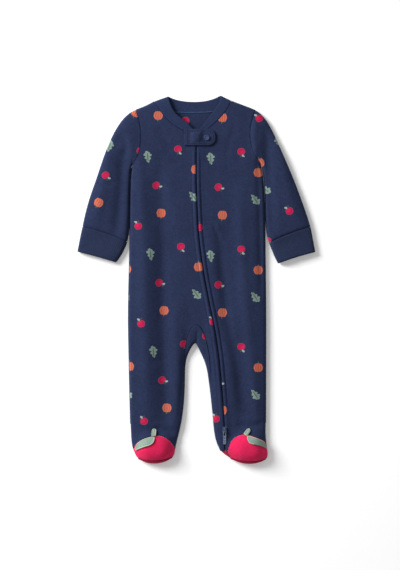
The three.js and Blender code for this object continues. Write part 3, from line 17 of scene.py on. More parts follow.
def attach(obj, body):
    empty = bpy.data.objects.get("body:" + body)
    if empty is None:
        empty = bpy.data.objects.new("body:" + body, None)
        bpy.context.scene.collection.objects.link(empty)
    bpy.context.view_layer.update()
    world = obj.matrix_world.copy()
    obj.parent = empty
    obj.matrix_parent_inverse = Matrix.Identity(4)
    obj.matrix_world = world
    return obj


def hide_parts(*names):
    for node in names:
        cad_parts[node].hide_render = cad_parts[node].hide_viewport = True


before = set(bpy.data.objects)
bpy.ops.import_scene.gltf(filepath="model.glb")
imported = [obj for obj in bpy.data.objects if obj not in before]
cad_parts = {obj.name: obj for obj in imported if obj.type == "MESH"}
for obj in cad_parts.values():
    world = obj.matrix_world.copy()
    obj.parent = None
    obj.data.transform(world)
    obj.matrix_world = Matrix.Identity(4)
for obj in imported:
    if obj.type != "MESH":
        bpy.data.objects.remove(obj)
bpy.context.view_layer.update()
print("pieces in the frame:", len(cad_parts))

# %% [markdown]
# ## One ruler for every place
# Places are read off a flat picture of the garment, 1.6 mm to a pixel. One function turns such a
# reading into metres on the object, so that every later cell can speak in the same numbers. The
# seams were drawn on the pattern in millimetres, and a second function reads those.

# %% The ruler
MM = 0.001
PIXEL = 1.6 * MM
MIDDLE_COLUMN = 197.0
MIDDLE_ROW = 280.5
FRAME_SHIFT = (1.05 * MM, -1.2 * MM)


def at(column, row, height=0.0):
    """A point of the object, in metres, from a column and a row of the flat picture."""
    x = (column - MIDDLE_COLUMN) * PIXEL + FRAME_SHIFT[0]
    y = (MIDDLE_ROW - row) * PIXEL + FRAME_SHIFT[1]
    return Vector((x, y, height))


def from_middle(x, y, height=0.0):
    """A point of the object, in metres, from millimetres across and up the pattern."""
    return Vector((x * MM + FRAME_SHIFT[0], y * MM + FRAME_SHIFT[1], height))


print("the snap sits near", tuple(round(c, 4) for c in at(206.6, 137.9)))

# %% [markdown]
# ## The camera
# The garment is seen from straight above. A long lens at two and a half metres keeps the cuffs
# and feet free of perspective, as a catalogue picture does.

# %% The camera
PICTURE_HEIGHT = 570 * PIXEL
LENS = 100.0
SENSOR = 36.0
CLOTH_HEIGHT = 9 * MM

camera = bpy.data.objects.new("camera", bpy.data.cameras.new("camera"))
bpy.context.scene.collection.objects.link(camera)
camera.data.lens = LENS
camera.data.sensor_width = SENSOR
camera.data.clip_end = 20.0
camera.location = at(200, 285, CLOTH_HEIGHT + LENS / SENSOR * PICTURE_HEIGHT)
bpy.context.scene.camera = camera
print("camera height", round(camera.location.z, 3))

# %% [markdown]
# ## The studio
# A plain white light table and two big soft boxes. The key light stands at the upper left, so
# folds that run down the garment are bright on their left side, and a soft shadow falls to the
# right. The table glows a little through its paper, which keeps the ground clean and white and
# lifts the shadow to a pale grey.

# %% The studio


def add(tree, kind, inputs=None, **settings):
    """Adds a node. inputs maps a socket's name or number to a value or another node's output."""
    node = tree.nodes.new(kind)
    for key, value in settings.items():
        setattr(node, key, value)
    for key, value in (inputs or {}).items():
        if isinstance(value, bpy.types.NodeSocket):
            tree.links.new(value, node.inputs[key])
        else:
            node.inputs[key].default_value = value
    return node


def linear(code):
    """An sRGB hex colour as linear red, green, blue and alpha."""
    parts = [int(code[i:i + 2], 16) / 255 for i in (0, 2, 4)]
    curve = [p / 12.92 if p <= 0.04045 else ((p + 0.055) / 1.055) ** 2.4 for p in parts]
    return (*curve, 1.0)


def start_material(name):
    """A new material with nothing in it but its output."""
    material = bpy.data.materials.new(name)
    material.use_nodes = True
    material.node_tree.nodes.clear()
    return material, material.node_tree


def soft_box(name, place, target, size, power):
    """A square soft box that looks at a point of the table."""
    light = bpy.data.objects.new(name, bpy.data.lights.new(name, "AREA"))
    light.data.size = size
    light.data.energy = power
    light.location = place
    light.rotation_euler = (Vector(target) - Vector(place)).to_track_quat("-Z", "Y").to_euler()
    bpy.context.scene.collection.objects.link(light)
    return light


bpy.context.scene.view_settings.view_transform = "Standard"
soft_box("key", (-2.35, 1.45, 1.45), (0, 0, 0), 1.4, 166.0)
soft_box("fill", (1.6, -1.2, 2.6), (0, 0, 0), 2.0, 8.0)

sky = bpy.data.worlds.new("sky")
sky.use_nodes = True
sky.node_tree.nodes.clear()
air = add(sky.node_tree, "ShaderNodeBackground", {"Color": (1, 1, 1, 1), "Strength": 0.33})
add(sky.node_tree, "ShaderNodeOutputWorld", {"Surface": air.outputs[0]})
bpy.context.scene.world = sky

TABLE_SIZE = 8.0
bm = bmesh.new()
bmesh.ops.create_grid(bm, x_segments=1, y_segments=1, size=TABLE_SIZE / 2)
table_mesh = bpy.data.meshes.new("table")
bm.to_mesh(table_mesh)
bm.free()
table = bpy.data.objects.new("table", table_mesh)
bpy.context.scene.collection.objects.link(table)
table.location.z = -0.0002
paper, tree = start_material("matt_white_paper")
grain = add(tree, "ShaderNodeTexNoise", {"Vector": add(tree, "ShaderNodeTexCoord").outputs["Object"],
                                         "Scale": 900.0})
tone = add(tree, "ShaderNodeMix", {0: grain.outputs[0], 6: linear("F6F6F6"), 7: linear("FAFAFA")},
           data_type="RGBA")
sheet_of_paper = add(tree, "ShaderNodeBsdfPrincipled",
                     {"Base Color": tone.outputs[2], "Roughness": 0.95, "Specular IOR Level": 0.1,
                      "Emission Color": (1, 1, 1, 1), "Emission Strength": 0.12})
add(tree, "ShaderNodeOutputMaterial", {0: sheet_of_paper.outputs[0]})
table_mesh.materials.append(paper)
print("table", TABLE_SIZE, "m across")

# %% [markdown]
# ## The print: its three motifs
# The cloth is printed with small apples, pumpkins and oak leaves, 12 to 18 mm long. Each motif is
# a node group that reads a place in millimetres from its own centre and answers with a colour and
# a mask. An outline that swells and narrows is a curve of radius against angle, or of width
# against length, which is how a draughtsman would chart it.

# %% A dab of colour, the part that every motif shares


def start_group(name, inputs, outputs):
    """A new node group with its sockets, and its entry and exit nodes."""
    group = bpy.data.node_groups.new(name, "ShaderNodeTree")
    for label, kind in inputs:
        group.interface.new_socket(label, in_out="INPUT", socket_type=kind)
    for label, kind in outputs:
        group.interface.new_socket(label, in_out="OUTPUT", socket_type=kind)
    return group, add(group, "NodeGroupInput"), add(group, "NodeGroupOutput")


def set_curve(node, points):
    """Gives a curve node its points, which run from 0 to 1."""
    curve = node.mapping.curves[0]
    curve.points[0].location = points[0]
    curve.points[1].location = points[-1]
    for x, y in points[1:-1]:
        curve.points.new(x, y)
    node.mapping.update()
    return node.outputs[0]


VECTOR = "NodeSocketVector"
COLOUR = "NodeSocketColor"
NUMBER = "NodeSocketFloat"

dab, entry, leave = start_group(
    "dab", [("Place", VECTOR), ("Centre", VECTOR), ("Radii", VECTOR), ("Turn", NUMBER)], [("Mask", NUMBER)]
)
moved = add(dab, "ShaderNodeVectorMath", {0: entry.outputs[0], 1: entry.outputs[1]}, operation="SUBTRACT")
turned = add(dab, "ShaderNodeVectorRotate", {"Vector": moved.outputs[0], "Angle": entry.outputs[3]},
             rotation_type="Z_AXIS")
scaled = add(dab, "ShaderNodeVectorMath", {0: turned.outputs[0], 1: entry.outputs[2]}, operation="DIVIDE")
reach = add(dab, "ShaderNodeVectorMath", {0: scaled.outputs[0]}, operation="LENGTH")
edge = add(dab, "ShaderNodeMapRange", {0: reach.outputs["Value"], 1: 0.85, 2: 1.1, 3: 1.0, 4: 0.0},
           interpolation_type="SMOOTHSTEP")
dab.links.new(edge.outputs[0], leave.inputs[0])

print("a dab has", len(dab.nodes), "nodes")

# %% [markdown]
# ### The apple
# A crimson apple 12 mm across with a shallow dip at both ends, a short dark stem and one pale
# leaf beside it. Its outline is a radius for each angle from the stem. The blush, the leaf, the
# stem and the notch under it are dabs laid over one another.

# %% The apple
MOTIF_SOCKETS = [("Place", VECTOR)], [("Colour", COLOUR), ("Mask", NUMBER)]
APPLE_RADIUS = 6.1
APPLE_OUTLINE = [(0, 0.80), (0.1, 0.93), (0.25, 1.0), (0.5, 1.0), (0.75, 0.96), (0.92, 0.9), (1, 0.86)]

apple, entry, leave = start_group("apple", *MOTIF_SOCKETS)
place = entry.outputs[0]
axes = add(apple, "ShaderNodeSeparateXYZ", {0: place})
angle = add(apple, "ShaderNodeMath", {0: axes.outputs[0], 1: axes.outputs[1]}, operation="ARCTAN2")
half_turn = add(apple, "ShaderNodeMath", {0: angle.outputs[0]}, operation="ABSOLUTE")
share = add(apple, "ShaderNodeMath", {0: half_turn.outputs[0], 1: 1 / math.pi}, operation="MULTIPLY")
outline = set_curve(add(apple, "ShaderNodeFloatCurve", {1: share.outputs[0]}), APPLE_OUTLINE)
radius = add(apple, "ShaderNodeVectorMath", {0: place}, operation="LENGTH")
inside = add(apple, "ShaderNodeMath", {0: outline, 1: APPLE_RADIUS, 2: 0.0}, operation="MULTIPLY")
gap = add(apple, "ShaderNodeMath", {0: inside.outputs[0], 1: radius.outputs["Value"]}, operation="SUBTRACT")
flesh = add(apple, "ShaderNodeMapRange", {0: gap.outputs[0], 1: -0.35, 2: 0.35}, interpolation_type="SMOOTHSTEP")

APPLE_DABS = [
    # colour, centre and radii in mm, turn in degrees: blush, leaf, stem, notch
    ("BC1B4A", (-1.6, 1.4, 0), (3.4, 3.0, 1), 30),
    ("929F99", (-3.0, 6.9, 0), (2.9, 1.7, 1), 145),
    ("4A4A44", (0.9, 7.3, 0), (0.6, 2.3, 1), -18),
    ("343850", (-0.2, 5.6, 0), (1.5, 1.0, 1), 0),
]
colour = linear("AE1240")
mask = flesh.outputs[0]
for code, centre, radii, degrees in APPLE_DABS:
    spot = add(apple, "ShaderNodeGroup", {0: place, 1: centre, 2: radii, 3: -math.radians(degrees)},
               node_tree=dab)
    over = add(apple, "ShaderNodeMix", {0: spot.outputs[0], 6: colour, 7: linear(code)}, data_type="RGBA")
    whole = add(apple, "ShaderNodeMath", {0: mask, 1: spot.outputs[0]}, operation="MAXIMUM")
    colour = over.outputs[2]
    mask = whole.outputs[0]
apple.links.new(colour, leave.inputs[0])
apple.links.new(mask, leave.inputs[1])
print("apple:", len(apple.nodes), "nodes")

# %% [markdown]
# ### The pumpkin
# A rounded square, 15 mm by 14 mm, with ribs that bow outwards and a scalloped top and bottom.
# The ribs are the meridians of a ball seen from the side: a sideways place divided by the width
# of the ball at that height.

# %% The pumpkin
PUMPKIN_HALF = (7.4, 6.9)
PUMPKIN_SQUARENESS = 2.7
RIB_SHARE = 0.28

pumpkin, entry, leave = start_group("pumpkin", *MOTIF_SOCKETS)
place = entry.outputs[0]
fitted = add(pumpkin, "ShaderNodeVectorMath", {0: place, 1: (1 / PUMPKIN_HALF[0], 1 / PUMPKIN_HALF[1], 1)},
             operation="MULTIPLY")
apart = add(pumpkin, "ShaderNodeVectorMath", {0: fitted.outputs[0]}, operation="ABSOLUTE")
sides = add(pumpkin, "ShaderNodeSeparateXYZ", {0: apart.outputs[0]})
across = add(pumpkin, "ShaderNodeMath", {0: sides.outputs[0], 1: PUMPKIN_SQUARENESS}, operation="POWER")
along = add(pumpkin, "ShaderNodeMath", {0: sides.outputs[1], 1: PUMPKIN_SQUARENESS}, operation="POWER")
ball = add(pumpkin, "ShaderNodeMath", {0: across.outputs[0], 1: along.outputs[0]}, operation="ADD")
bow = add(pumpkin, "ShaderNodeMapRange", {0: sides.outputs[1], 1: 0.0, 2: 1.0, 3: 1.0, 4: 0.62})
signed = add(pumpkin, "ShaderNodeSeparateXYZ", {0: fitted.outputs[0]})
meridian = add(pumpkin, "ShaderNodeMath", {0: signed.outputs[0], 1: bow.outputs[0]}, operation="DIVIDE")
lobe = add(pumpkin, "ShaderNodeMath", {0: meridian.outputs[0], 1: RIB_SHARE}, operation="PINGPONG")
near_rib = add(pumpkin, "ShaderNodeMapRange", {0: lobe.outputs[0], 1: 0.02, 2: 0.15, 3: 1.0, 4: 0.0},
               interpolation_type="SMOOTHSTEP")
scallop = add(pumpkin, "ShaderNodeMath", {0: near_rib.outputs[0], 1: 0.2, 2: ball.outputs[0]},
              operation="MULTIPLY_ADD")
skin = add(pumpkin, "ShaderNodeMapRange", {0: scallop.outputs[0], 1: 0.88, 2: 1.12, 3: 1.0, 4: 0.0},
           interpolation_type="SMOOTHSTEP")
stalk = add(pumpkin, "ShaderNodeGroup",
            {0: place, 1: (0.3, 7.9, 0), 2: (0.75, 1.9, 1), 3: math.radians(12)}, node_tree=dab)
rib_depth = add(pumpkin, "ShaderNodeMath", {0: near_rib.outputs[0], 1: 0.75}, operation="MULTIPLY")
ribbed = add(pumpkin, "ShaderNodeMix",
             {0: rib_depth.outputs[0], 6: linear("C2644C"), 7: linear("944430")}, data_type="RGBA")
stalked = add(pumpkin, "ShaderNodeMix",
              {0: stalk.outputs[0], 6: ribbed.outputs[2], 7: linear("5A5C48")}, data_type="RGBA")
whole = add(pumpkin, "ShaderNodeMath", {0: skin.outputs[0], 1: stalk.outputs[0]}, operation="MAXIMUM")
pumpkin.links.new(stalked.outputs[2], leave.inputs[0])
pumpkin.links.new(whole.outputs[0], leave.inputs[1])
print("pumpkin:", len(pumpkin.nodes), "nodes")

# %% [markdown]
# ### The oak leaf
# A sage leaf 18 mm long with round lobes that narrow to its foot, and an olive rib with fine
# side veins. Its outline is a width for each place along it.

# %% The oak leaf
LEAF_LENGTH = 18.4
LEAF_HALF_WIDTH = 6.7
LEAF_OUTLINE = [
    (0, 0.0), (0.05, 0.28), (0.14, 0.38), (0.22, 0.34), (0.33, 0.72), (0.42, 0.78), (0.51, 0.52),
    (0.62, 0.96), (0.72, 1.0), (0.81, 0.62), (0.88, 0.6), (0.95, 0.42), (1, 0.0),
]
LEAF_SWAY = 0.035

oak_leaf, entry, leave = start_group("oak_leaf", *MOTIF_SOCKETS)
place = entry.outputs[0]
axes = add(oak_leaf, "ShaderNodeSeparateXYZ", {0: place})
aside = add(oak_leaf, "ShaderNodeMath", {0: axes.outputs[0]}, operation="ABSOLUTE")
share = add(oak_leaf, "ShaderNodeMath", {0: axes.outputs[1], 1: 1 / LEAF_LENGTH, 2: 0.5},
            operation="MULTIPLY_ADD")
side = add(oak_leaf, "ShaderNodeMath", {0: axes.outputs[0]}, operation="SIGN")
staggered = add(oak_leaf, "ShaderNodeMath", {0: side.outputs[0], 1: LEAF_SWAY, 2: share.outputs[0]},
                operation="MULTIPLY_ADD")
outline = set_curve(add(oak_leaf, "ShaderNodeFloatCurve", {1: staggered.outputs[0]}), LEAF_OUTLINE)
width = add(oak_leaf, "ShaderNodeMath", {0: outline, 1: LEAF_HALF_WIDTH}, operation="MULTIPLY")
gap = add(oak_leaf, "ShaderNodeMath", {0: width.outputs[0], 1: aside.outputs[0]}, operation="SUBTRACT")
blade = add(oak_leaf, "ShaderNodeMapRange", {0: gap.outputs[0], 1: -0.3, 2: 0.9}, interpolation_type="SMOOTHSTEP")
slant = add(oak_leaf, "ShaderNodeMath", {0: aside.outputs[0], 1: -0.9, 2: axes.outputs[1]},
            operation="MULTIPLY_ADD")
vein = add(oak_leaf, "ShaderNodeMath", {0: slant.outputs[0], 1: 2.2}, operation="PINGPONG")
vein_line = add(oak_leaf, "ShaderNodeMapRange", {0: vein.outputs[0], 1: 0.15, 2: 0.6, 3: 0.45, 4: 0.0},
                interpolation_type="SMOOTHSTEP")
near_middle = add(oak_leaf, "ShaderNodeMapRange", {0: aside.outputs[0], 1: 2.4, 2: 4.2, 3: 1.0, 4: 0.0})
veins = add(oak_leaf, "ShaderNodeMath", {0: vein_line.outputs[0], 1: near_middle.outputs[0]}, operation="MULTIPLY")
midrib = add(oak_leaf, "ShaderNodeGroup", {0: place, 1: (0, -0.5, 0), 2: (1.15, 7.6, 1)}, node_tree=dab)
veined = add(oak_leaf, "ShaderNodeMix",
             {0: veins.outputs[0], 6: linear("7A8E86"), 7: linear("5E7068")}, data_type="RGBA")
ribbed = add(oak_leaf, "ShaderNodeMix",
             {0: midrib.outputs[0], 6: veined.outputs[2], 7: linear("536858")}, data_type="RGBA")
oak_leaf.links.new(ribbed.outputs[2], leave.inputs[0])
oak_leaf.links.new(blade.outputs[0], leave.inputs[1])
print("oak leaf:", len(oak_leaf.nodes), "nodes")

# %% [markdown]
# ### The repeat
# Seven motifs stand in a tile 115 mm wide and 156 mm high, scattered at odd angles so that the
# cloth has no up or down. A wrap of the place into the tile, once for each motif, repeats it
# without end, and a motif may cross the tile's edge.

# %% The repeat
TILE_HALF = (57.6, 78.0)
TILE_START = (178.0, 149.0)
MOTIFS = [
    # motif, column, row, turn in degrees
    (apple, 178.0, 149.0, 180),
    (oak_leaf, 147.5, 156.0, 3),
    (pumpkin, 195.0, 170.0, 2),
    (apple, 155.0, 184.5, -132),
    (oak_leaf, 192.0, 197.0, -145),
    (pumpkin, 159.2, 212.5, 176),
    (apple, 136.0, 225.0, 6),
]

fruit_print, entry, leave = start_group("fruit_print", *MOTIF_SOCKETS)
colour = linear("7A8E86")
mask = 0.0
for motif, column, row, degrees in MOTIFS:
    centre = ((column - TILE_START[0]) * 1.6, (TILE_START[1] - row) * 1.6, 0)
    moved = add(fruit_print, "ShaderNodeVectorMath", {0: entry.outputs[0], 1: centre}, operation="SUBTRACT")
    tiled = add(fruit_print, "ShaderNodeVectorMath",
                {0: moved.outputs[0], 1: (*TILE_HALF, 1), 2: (-TILE_HALF[0], -TILE_HALF[1], -1)},
                operation="WRAP")
    turned = add(fruit_print, "ShaderNodeVectorRotate",
                 {"Vector": tiled.outputs[0], "Angle": -math.radians(degrees)}, rotation_type="Z_AXIS")
    drawn = add(fruit_print, "ShaderNodeGroup", {0: turned.outputs[0]}, node_tree=motif)
    over = add(fruit_print, "ShaderNodeMix", {0: drawn.outputs[1], 6: colour, 7: drawn.outputs[0]},
               data_type="RGBA")
    whole = add(fruit_print, "ShaderNodeMath", {0: mask, 1: drawn.outputs[1]}, operation="MAXIMUM")
    colour = over.outputs[2]
    mask = whole.outputs[0]
fruit_print.links.new(colour, leave.inputs[0])
fruit_print.links.new(mask, leave.inputs[1])
print("motifs in a tile:", len(MOTIFS))

# %% [markdown]
# ## Printed microfleece
# Microfleece is knitted polyester, brushed until a short nap stands up. The eye gets a matt, even
# colour with a faint bloom where it turns away, and a fine fleck. The nap is under a millimetre
# and would vanish, so it is drawn about twice as coarse. Rotary-printed ink sinks into the nap,
# so its edges wander a little and the flecks show through.

# %% Printed microfleece
NAP = 1.9 * MM
PILL = 6.0 * MM
CLOUD = 45.0 * MM


def fleece_ground(tree, light_colour, dark_colour):
    """The fleck and the nap that every fleece shares: its colour, its height and its place."""
    place = add(tree, "ShaderNodeTexCoord").outputs["Object"]
    nap = add(tree, "ShaderNodeTexNoise", {"Vector": place, "Scale": 1 / NAP, "Detail": 2.0, "Roughness": 0.6})
    pill = add(tree, "ShaderNodeTexNoise", {"Vector": place, "Scale": 1 / PILL, "Detail": 2.0})
    cloud = add(tree, "ShaderNodeTexNoise", {"Vector": place, "Scale": 1 / CLOUD, "Detail": 1.0})
    fleck = add(tree, "ShaderNodeMath", {0: nap.outputs[0], 1: 0.62}, operation="MULTIPLY")
    fleck = add(tree, "ShaderNodeMath", {0: pill.outputs[0], 1: 0.23, 2: fleck.outputs[0]},
                operation="MULTIPLY_ADD")
    fleck = add(tree, "ShaderNodeMath", {0: cloud.outputs[0], 1: 0.15, 2: fleck.outputs[0]},
                operation="MULTIPLY_ADD")
    spread = add(tree, "ShaderNodeMapRange", {0: fleck.outputs[0], 1: 0.36, 2: 0.64})
    tone = add(tree, "ShaderNodeMix", {0: spread.outputs[0], 6: linear(dark_colour), 7: linear(light_colour)},
               data_type="RGBA")
    return tone.outputs[2], fleck.outputs[0], place, nap


def brushed_surface(tree, colour, height, bump=0.5, sheen=0.1, tint="8FA0C8", relief=0.5 * MM):
    """A matt brushed surface whose nap catches light at its edge."""
    rough = add(tree, "ShaderNodeBump", {"Strength": bump, "Distance": relief, "Height": height})
    surface = add(
        tree, "ShaderNodeBsdfPrincipled",
        {"Base Color": colour, "Roughness": 0.92, "IOR": 1.5, "Specular IOR Level": 0.15,
         "Sheen Weight": sheen, "Sheen Roughness": 0.55, "Sheen Tint": linear(tint),
         "Normal": rough.outputs[0]},
    )
    add(tree, "ShaderNodeOutputMaterial", {0: surface.outputs[0]})


def printed_fleece(name, seen, charted, degrees):
    """Navy fleece whose print is turned, and has the charted motif at the place where it is seen."""
    material, tree = start_material(name)
    ground, height, place, nap = fleece_ground(tree, "26304E", "1B233E")
    turn = Matrix.Rotation(-math.radians(degrees), 2)
    spot = Vector(at(*seen)[:2]) / MM
    chart = Vector(((charted[0] - TILE_START[0]) * 1.6, (TILE_START[1] - charted[1]) * 1.6))
    shift = chart - turn @ spot
    wander = add(tree, "ShaderNodeVectorMath", {0: nap.outputs["Color"], 1: (0.5, 0.5, 0.5)},
                 operation="SUBTRACT")
    laid = add(tree, "ShaderNodeMapping",
               {"Vector": place, "Location": (*shift, 0), "Scale": (1 / MM, 1 / MM, 0),
                "Rotation": (0, 0, -math.radians(degrees))})
    inked = add(tree, "ShaderNodeVectorMath", {0: wander.outputs[0], 1: (1.5, 1.5, 0), 2: laid.outputs[0]},
                operation="MULTIPLY_ADD")
    ink = add(tree, "ShaderNodeGroup", {0: inked.outputs[0]}, node_tree=fruit_print)
    through = add(tree, "ShaderNodeMapRange", {0: height, 1: 0.34, 2: 0.5, 3: 0.78, 4: 0.97})
    cover = add(tree, "ShaderNodeMath", {0: ink.outputs[1], 1: through.outputs[0]}, operation="MULTIPLY")
    colour = add(tree, "ShaderNodeMix", {0: cover.outputs[0], 6: ground, 7: ink.outputs[0]}, data_type="RGBA")
    brushed_surface(tree, colour.outputs[2], height)
    return material


PRINTS = {
    # piece: where a motif is seen, where the chart has it, turn in degrees
    "front_panel_wide": ((178.0, 149.0), (178.0, 149.0), 1.7),
    "front_panel_narrow": ((241.2, 151.6), (178.0, 149.0), 0.0),
    "back_panel": ((185.5, 120.0), (178.0, 149.0), 0.0),
    "gusset": ((176.0, 345.0), (147.5, 156.0), 4.0),
    "sleeve_left": ((109.5, 146.0), (147.5, 156.0), -22.4),
    "sleeve_right": ((279.0, 142.0), (147.5, 156.0), 18.0),
}
FINISH = {piece: printed_fleece("printed_fleece_" + piece, *PRINTS[piece]) for piece in PRINTS}
print("printed pieces:", ", ".join(PRINTS))

# %% [markdown]
# ## Plain fleece
# The toe caps are crimson fleece, the soles a darker crimson, and the leaf and stem on each toe
# sage fleece. The guard tab and the tape inside the neck are navy, the tape a little paler: that
# paler colour is a painted highlight for the light its rolled top catches. They are the same brushed
# cloth without a print, so one function makes all five.

# %% Plain fleece


def plain_fleece(name, light_colour, dark_colour, sheen, tint):
    """Brushed fleece in one colour."""
    material, tree = start_material(name)
    ground, height, _, _ = fleece_ground(tree, light_colour, dark_colour)
    brushed_surface(tree, ground, height, bump=0.45, sheen=sheen, tint=tint)
    return material


crimson_fleece = plain_fleece("crimson_fleece", "DA2058", "C21846", 0.2, "F08AA8")
sole_fleece = plain_fleece("sole_fleece", "AE1E46", "8C1634", 0.15, "E08098")
sage_fleece = plain_fleece("sage_fleece", "889F93", "74897E", 0.15, "C8D4C8")
navy_fleece = plain_fleece("plain_navy_fleece", "26304E", "1B233E", 0.1, "8FA0C8")
# painted highlight: the neck tape is a paler navy than the cloth so that its rolled top reads as lit
neck_tape_painted_highlight_fleece = plain_fleece("neck_tape_fleece_painted_highlight", "344468", "293654", 0.1, "8FA0C8")
print("plain fleeces: 5")

# %% [markdown]
# ## Rib knit
# Cuffs and neckband are one-by-one rib, a knit with raised columns 1.6 mm apart. That is one
# pixel of the picture, so the columns are drawn 3.2 mm apart. A sine wave across the piece lifts
# the columns and darkens the valleys with painted shade; on the neckband the columns fan out round the neck.

# %% Rib knit
RIB_PITCH = 3.2 * MM
NECK_CENTRE = at(196.5, 101)


def rib_knit(name, light_colour, dark_colour, valley_painted_shade_and_depth, degrees=None):
    """Navy rib whose columns run at an angle to the picture's upright, or fan round the neck."""
    material, tree = start_material(name)
    ground, nap_height, place, _ = fleece_ground(tree, light_colour, dark_colour)
    if degrees is None:
        moved = add(tree, "ShaderNodeVectorMath", {0: place, 1: tuple(NECK_CENTRE)}, operation="SUBTRACT")
        axes = add(tree, "ShaderNodeSeparateXYZ", {0: moved.outputs[0]})
        angle = add(tree, "ShaderNodeMath", {0: axes.outputs[0], 1: axes.outputs[1]}, operation="ARCTAN2")
        phase = add(tree, "ShaderNodeMath", {0: angle.outputs[0], 1: 84.0}, operation="MULTIPLY")
    else:
        laid = add(tree, "ShaderNodeMapping", {"Vector": place, "Rotation": (0, 0, math.radians(degrees))})
        axes = add(tree, "ShaderNodeSeparateXYZ", {0: laid.outputs[0]})
        phase = add(tree, "ShaderNodeMath", {0: axes.outputs[0], 1: math.tau / RIB_PITCH}, operation="MULTIPLY")
    wave = add(tree, "ShaderNodeMath", {0: phase.outputs[0]}, operation="SINE")
    column = add(tree, "ShaderNodeMapRange", {0: wave.outputs[0], 1: -1.0, 2: 1.0})
    # painted shade: the valleys between the rib columns are darkened towards near-black navy
    shade = add(tree, "ShaderNodeMapRange", {0: column.outputs[0], 3: valley_painted_shade_and_depth, 4: 0.0})
    colour = add(tree, "ShaderNodeMix", {0: shade.outputs[0], 6: ground, 7: linear("10162C")},
                 data_type="RGBA")
    height = add(tree, "ShaderNodeMath", {0: column.outputs[0], 1: 2.5 * valley_painted_shade_and_depth, 2: nap_height},
                 operation="MULTIPLY_ADD")
    brushed_surface(tree, colour.outputs[2], height.outputs[0], sheen=0.08, relief=0.6 * MM)
    return material


rib_cuff_left = rib_knit("rib_cuff_left", "28324E", "1E2640", 0.2, degrees=20)
rib_cuff_right = rib_knit("rib_cuff_right", "28324E", "1E2640", 0.2, degrees=-18)
rib_neckband = rib_knit("rib_neckband", "273352", "1D2744", 0.1)
print("rib columns", RIB_PITCH / MM, "mm apart")

# %% [markdown]
# ## Tape, thread and metal
# The zip's tape is a flat woven polyester ribbon, dyed to match. The coil is moulded nylon wire.
# Sewing thread is spun polyester with a soft shine. The satin stitch round the toe's leaf is
# embroidery rayon, which shines more. The slider and its pull are zinc, painted to match, with pale
# patches that are partly wear and partly painted glints.

# %% Tape, thread and metal


def woven_tape(name, light_colour, dark_colour):
    """Twill ribbon: two fine waves that cross make its ridges."""
    material, tree = start_material(name)
    place = add(tree, "ShaderNodeTexCoord").outputs["Object"]
    warp = add(tree, "ShaderNodeTexWave", {"Vector": place, "Scale": 140.0, "Distortion": 0.4},
               bands_direction="DIAGONAL")
    weft = add(tree, "ShaderNodeTexWave", {"Vector": place, "Scale": 110.0, "Distortion": 0.4},
               bands_direction="Y")
    weave = add(tree, "ShaderNodeMath", {0: warp.outputs[1], 1: weft.outputs[1]}, operation="MULTIPLY")
    colour = add(tree, "ShaderNodeMix",
                 {0: weave.outputs[0], 6: linear(dark_colour), 7: linear(light_colour)}, data_type="RGBA")
    ridges = add(tree, "ShaderNodeBump", {"Strength": 0.5, "Distance": 0.2 * MM, "Height": weave.outputs[0]})
    surface = add(tree, "ShaderNodeBsdfPrincipled",
                  {"Base Color": colour.outputs[2], "Roughness": 0.7, "IOR": 1.5, "Specular IOR Level": 0.3,
                   "Normal": ridges.outputs[0]})
    add(tree, "ShaderNodeOutputMaterial", {0: surface.outputs[0]})
    return material


def spun_thread(name, light_colour, dark_colour, twist, roughness):
    """Thread or embroidery floss: plies that lie aslant, one twist length apart."""
    material, tree = start_material(name)
    place = add(tree, "ShaderNodeTexCoord").outputs["Object"]
    ply = add(tree, "ShaderNodeTexWave", {"Vector": place, "Scale": 0.3 / twist, "Distortion": 1.5,
                                          "Detail": 1.0}, bands_direction="DIAGONAL")
    colour = add(tree, "ShaderNodeMix",
                 {0: ply.outputs[1], 6: linear(dark_colour), 7: linear(light_colour)}, data_type="RGBA")
    ridges = add(tree, "ShaderNodeBump", {"Strength": 0.6, "Distance": 0.15 * MM, "Height": ply.outputs[1]})
    surface = add(tree, "ShaderNodeBsdfPrincipled",
                  {"Base Color": colour.outputs[2], "Roughness": roughness, "IOR": 1.53, "Specular IOR Level": 0.3, "Specular Tint": linear(light_colour),
                   "Normal": ridges.outputs[0]})
    add(tree, "ShaderNodeOutputMaterial", {0: surface.outputs[0]})
    return material


def die_cast(name, colour, wear_and_glint, metallic, roughness):
    """Cast metal, painted or plated, with pale patches at random: wear where fingers rub it, and on the slider and
    pull also painted glints.
    """
    material, tree = start_material(name)
    place = add(tree, "ShaderNodeTexCoord").outputs["Object"]
    rub = add(tree, "ShaderNodeTexNoise", {"Vector": place, "Scale": 650.0, "Detail": 3.0})
    wear_and_glint_patch = add(tree, "ShaderNodeMapRange", {0: rub.outputs[0], 1: 0.45, 2: 0.75})
    tone = add(tree, "ShaderNodeMix", {0: wear_and_glint_patch.outputs[0], 6: linear(colour), 7: linear(wear_and_glint)},
               data_type="RGBA")
    gloss = add(tree, "ShaderNodeMapRange", {0: rub.outputs[0], 3: roughness - 0.08, 4: roughness + 0.12})
    pitted = add(tree, "ShaderNodeBump", {"Strength": 0.15, "Distance": 0.1 * MM, "Height": rub.outputs[0]})
    surface = add(tree, "ShaderNodeBsdfPrincipled",
                  {"Base Color": tone.outputs[2], "Metallic": metallic, "Roughness": gloss.outputs[0],
                   "Normal": pitted.outputs[0]})
    add(tree, "ShaderNodeOutputMaterial", {0: surface.outputs[0]})
    return material


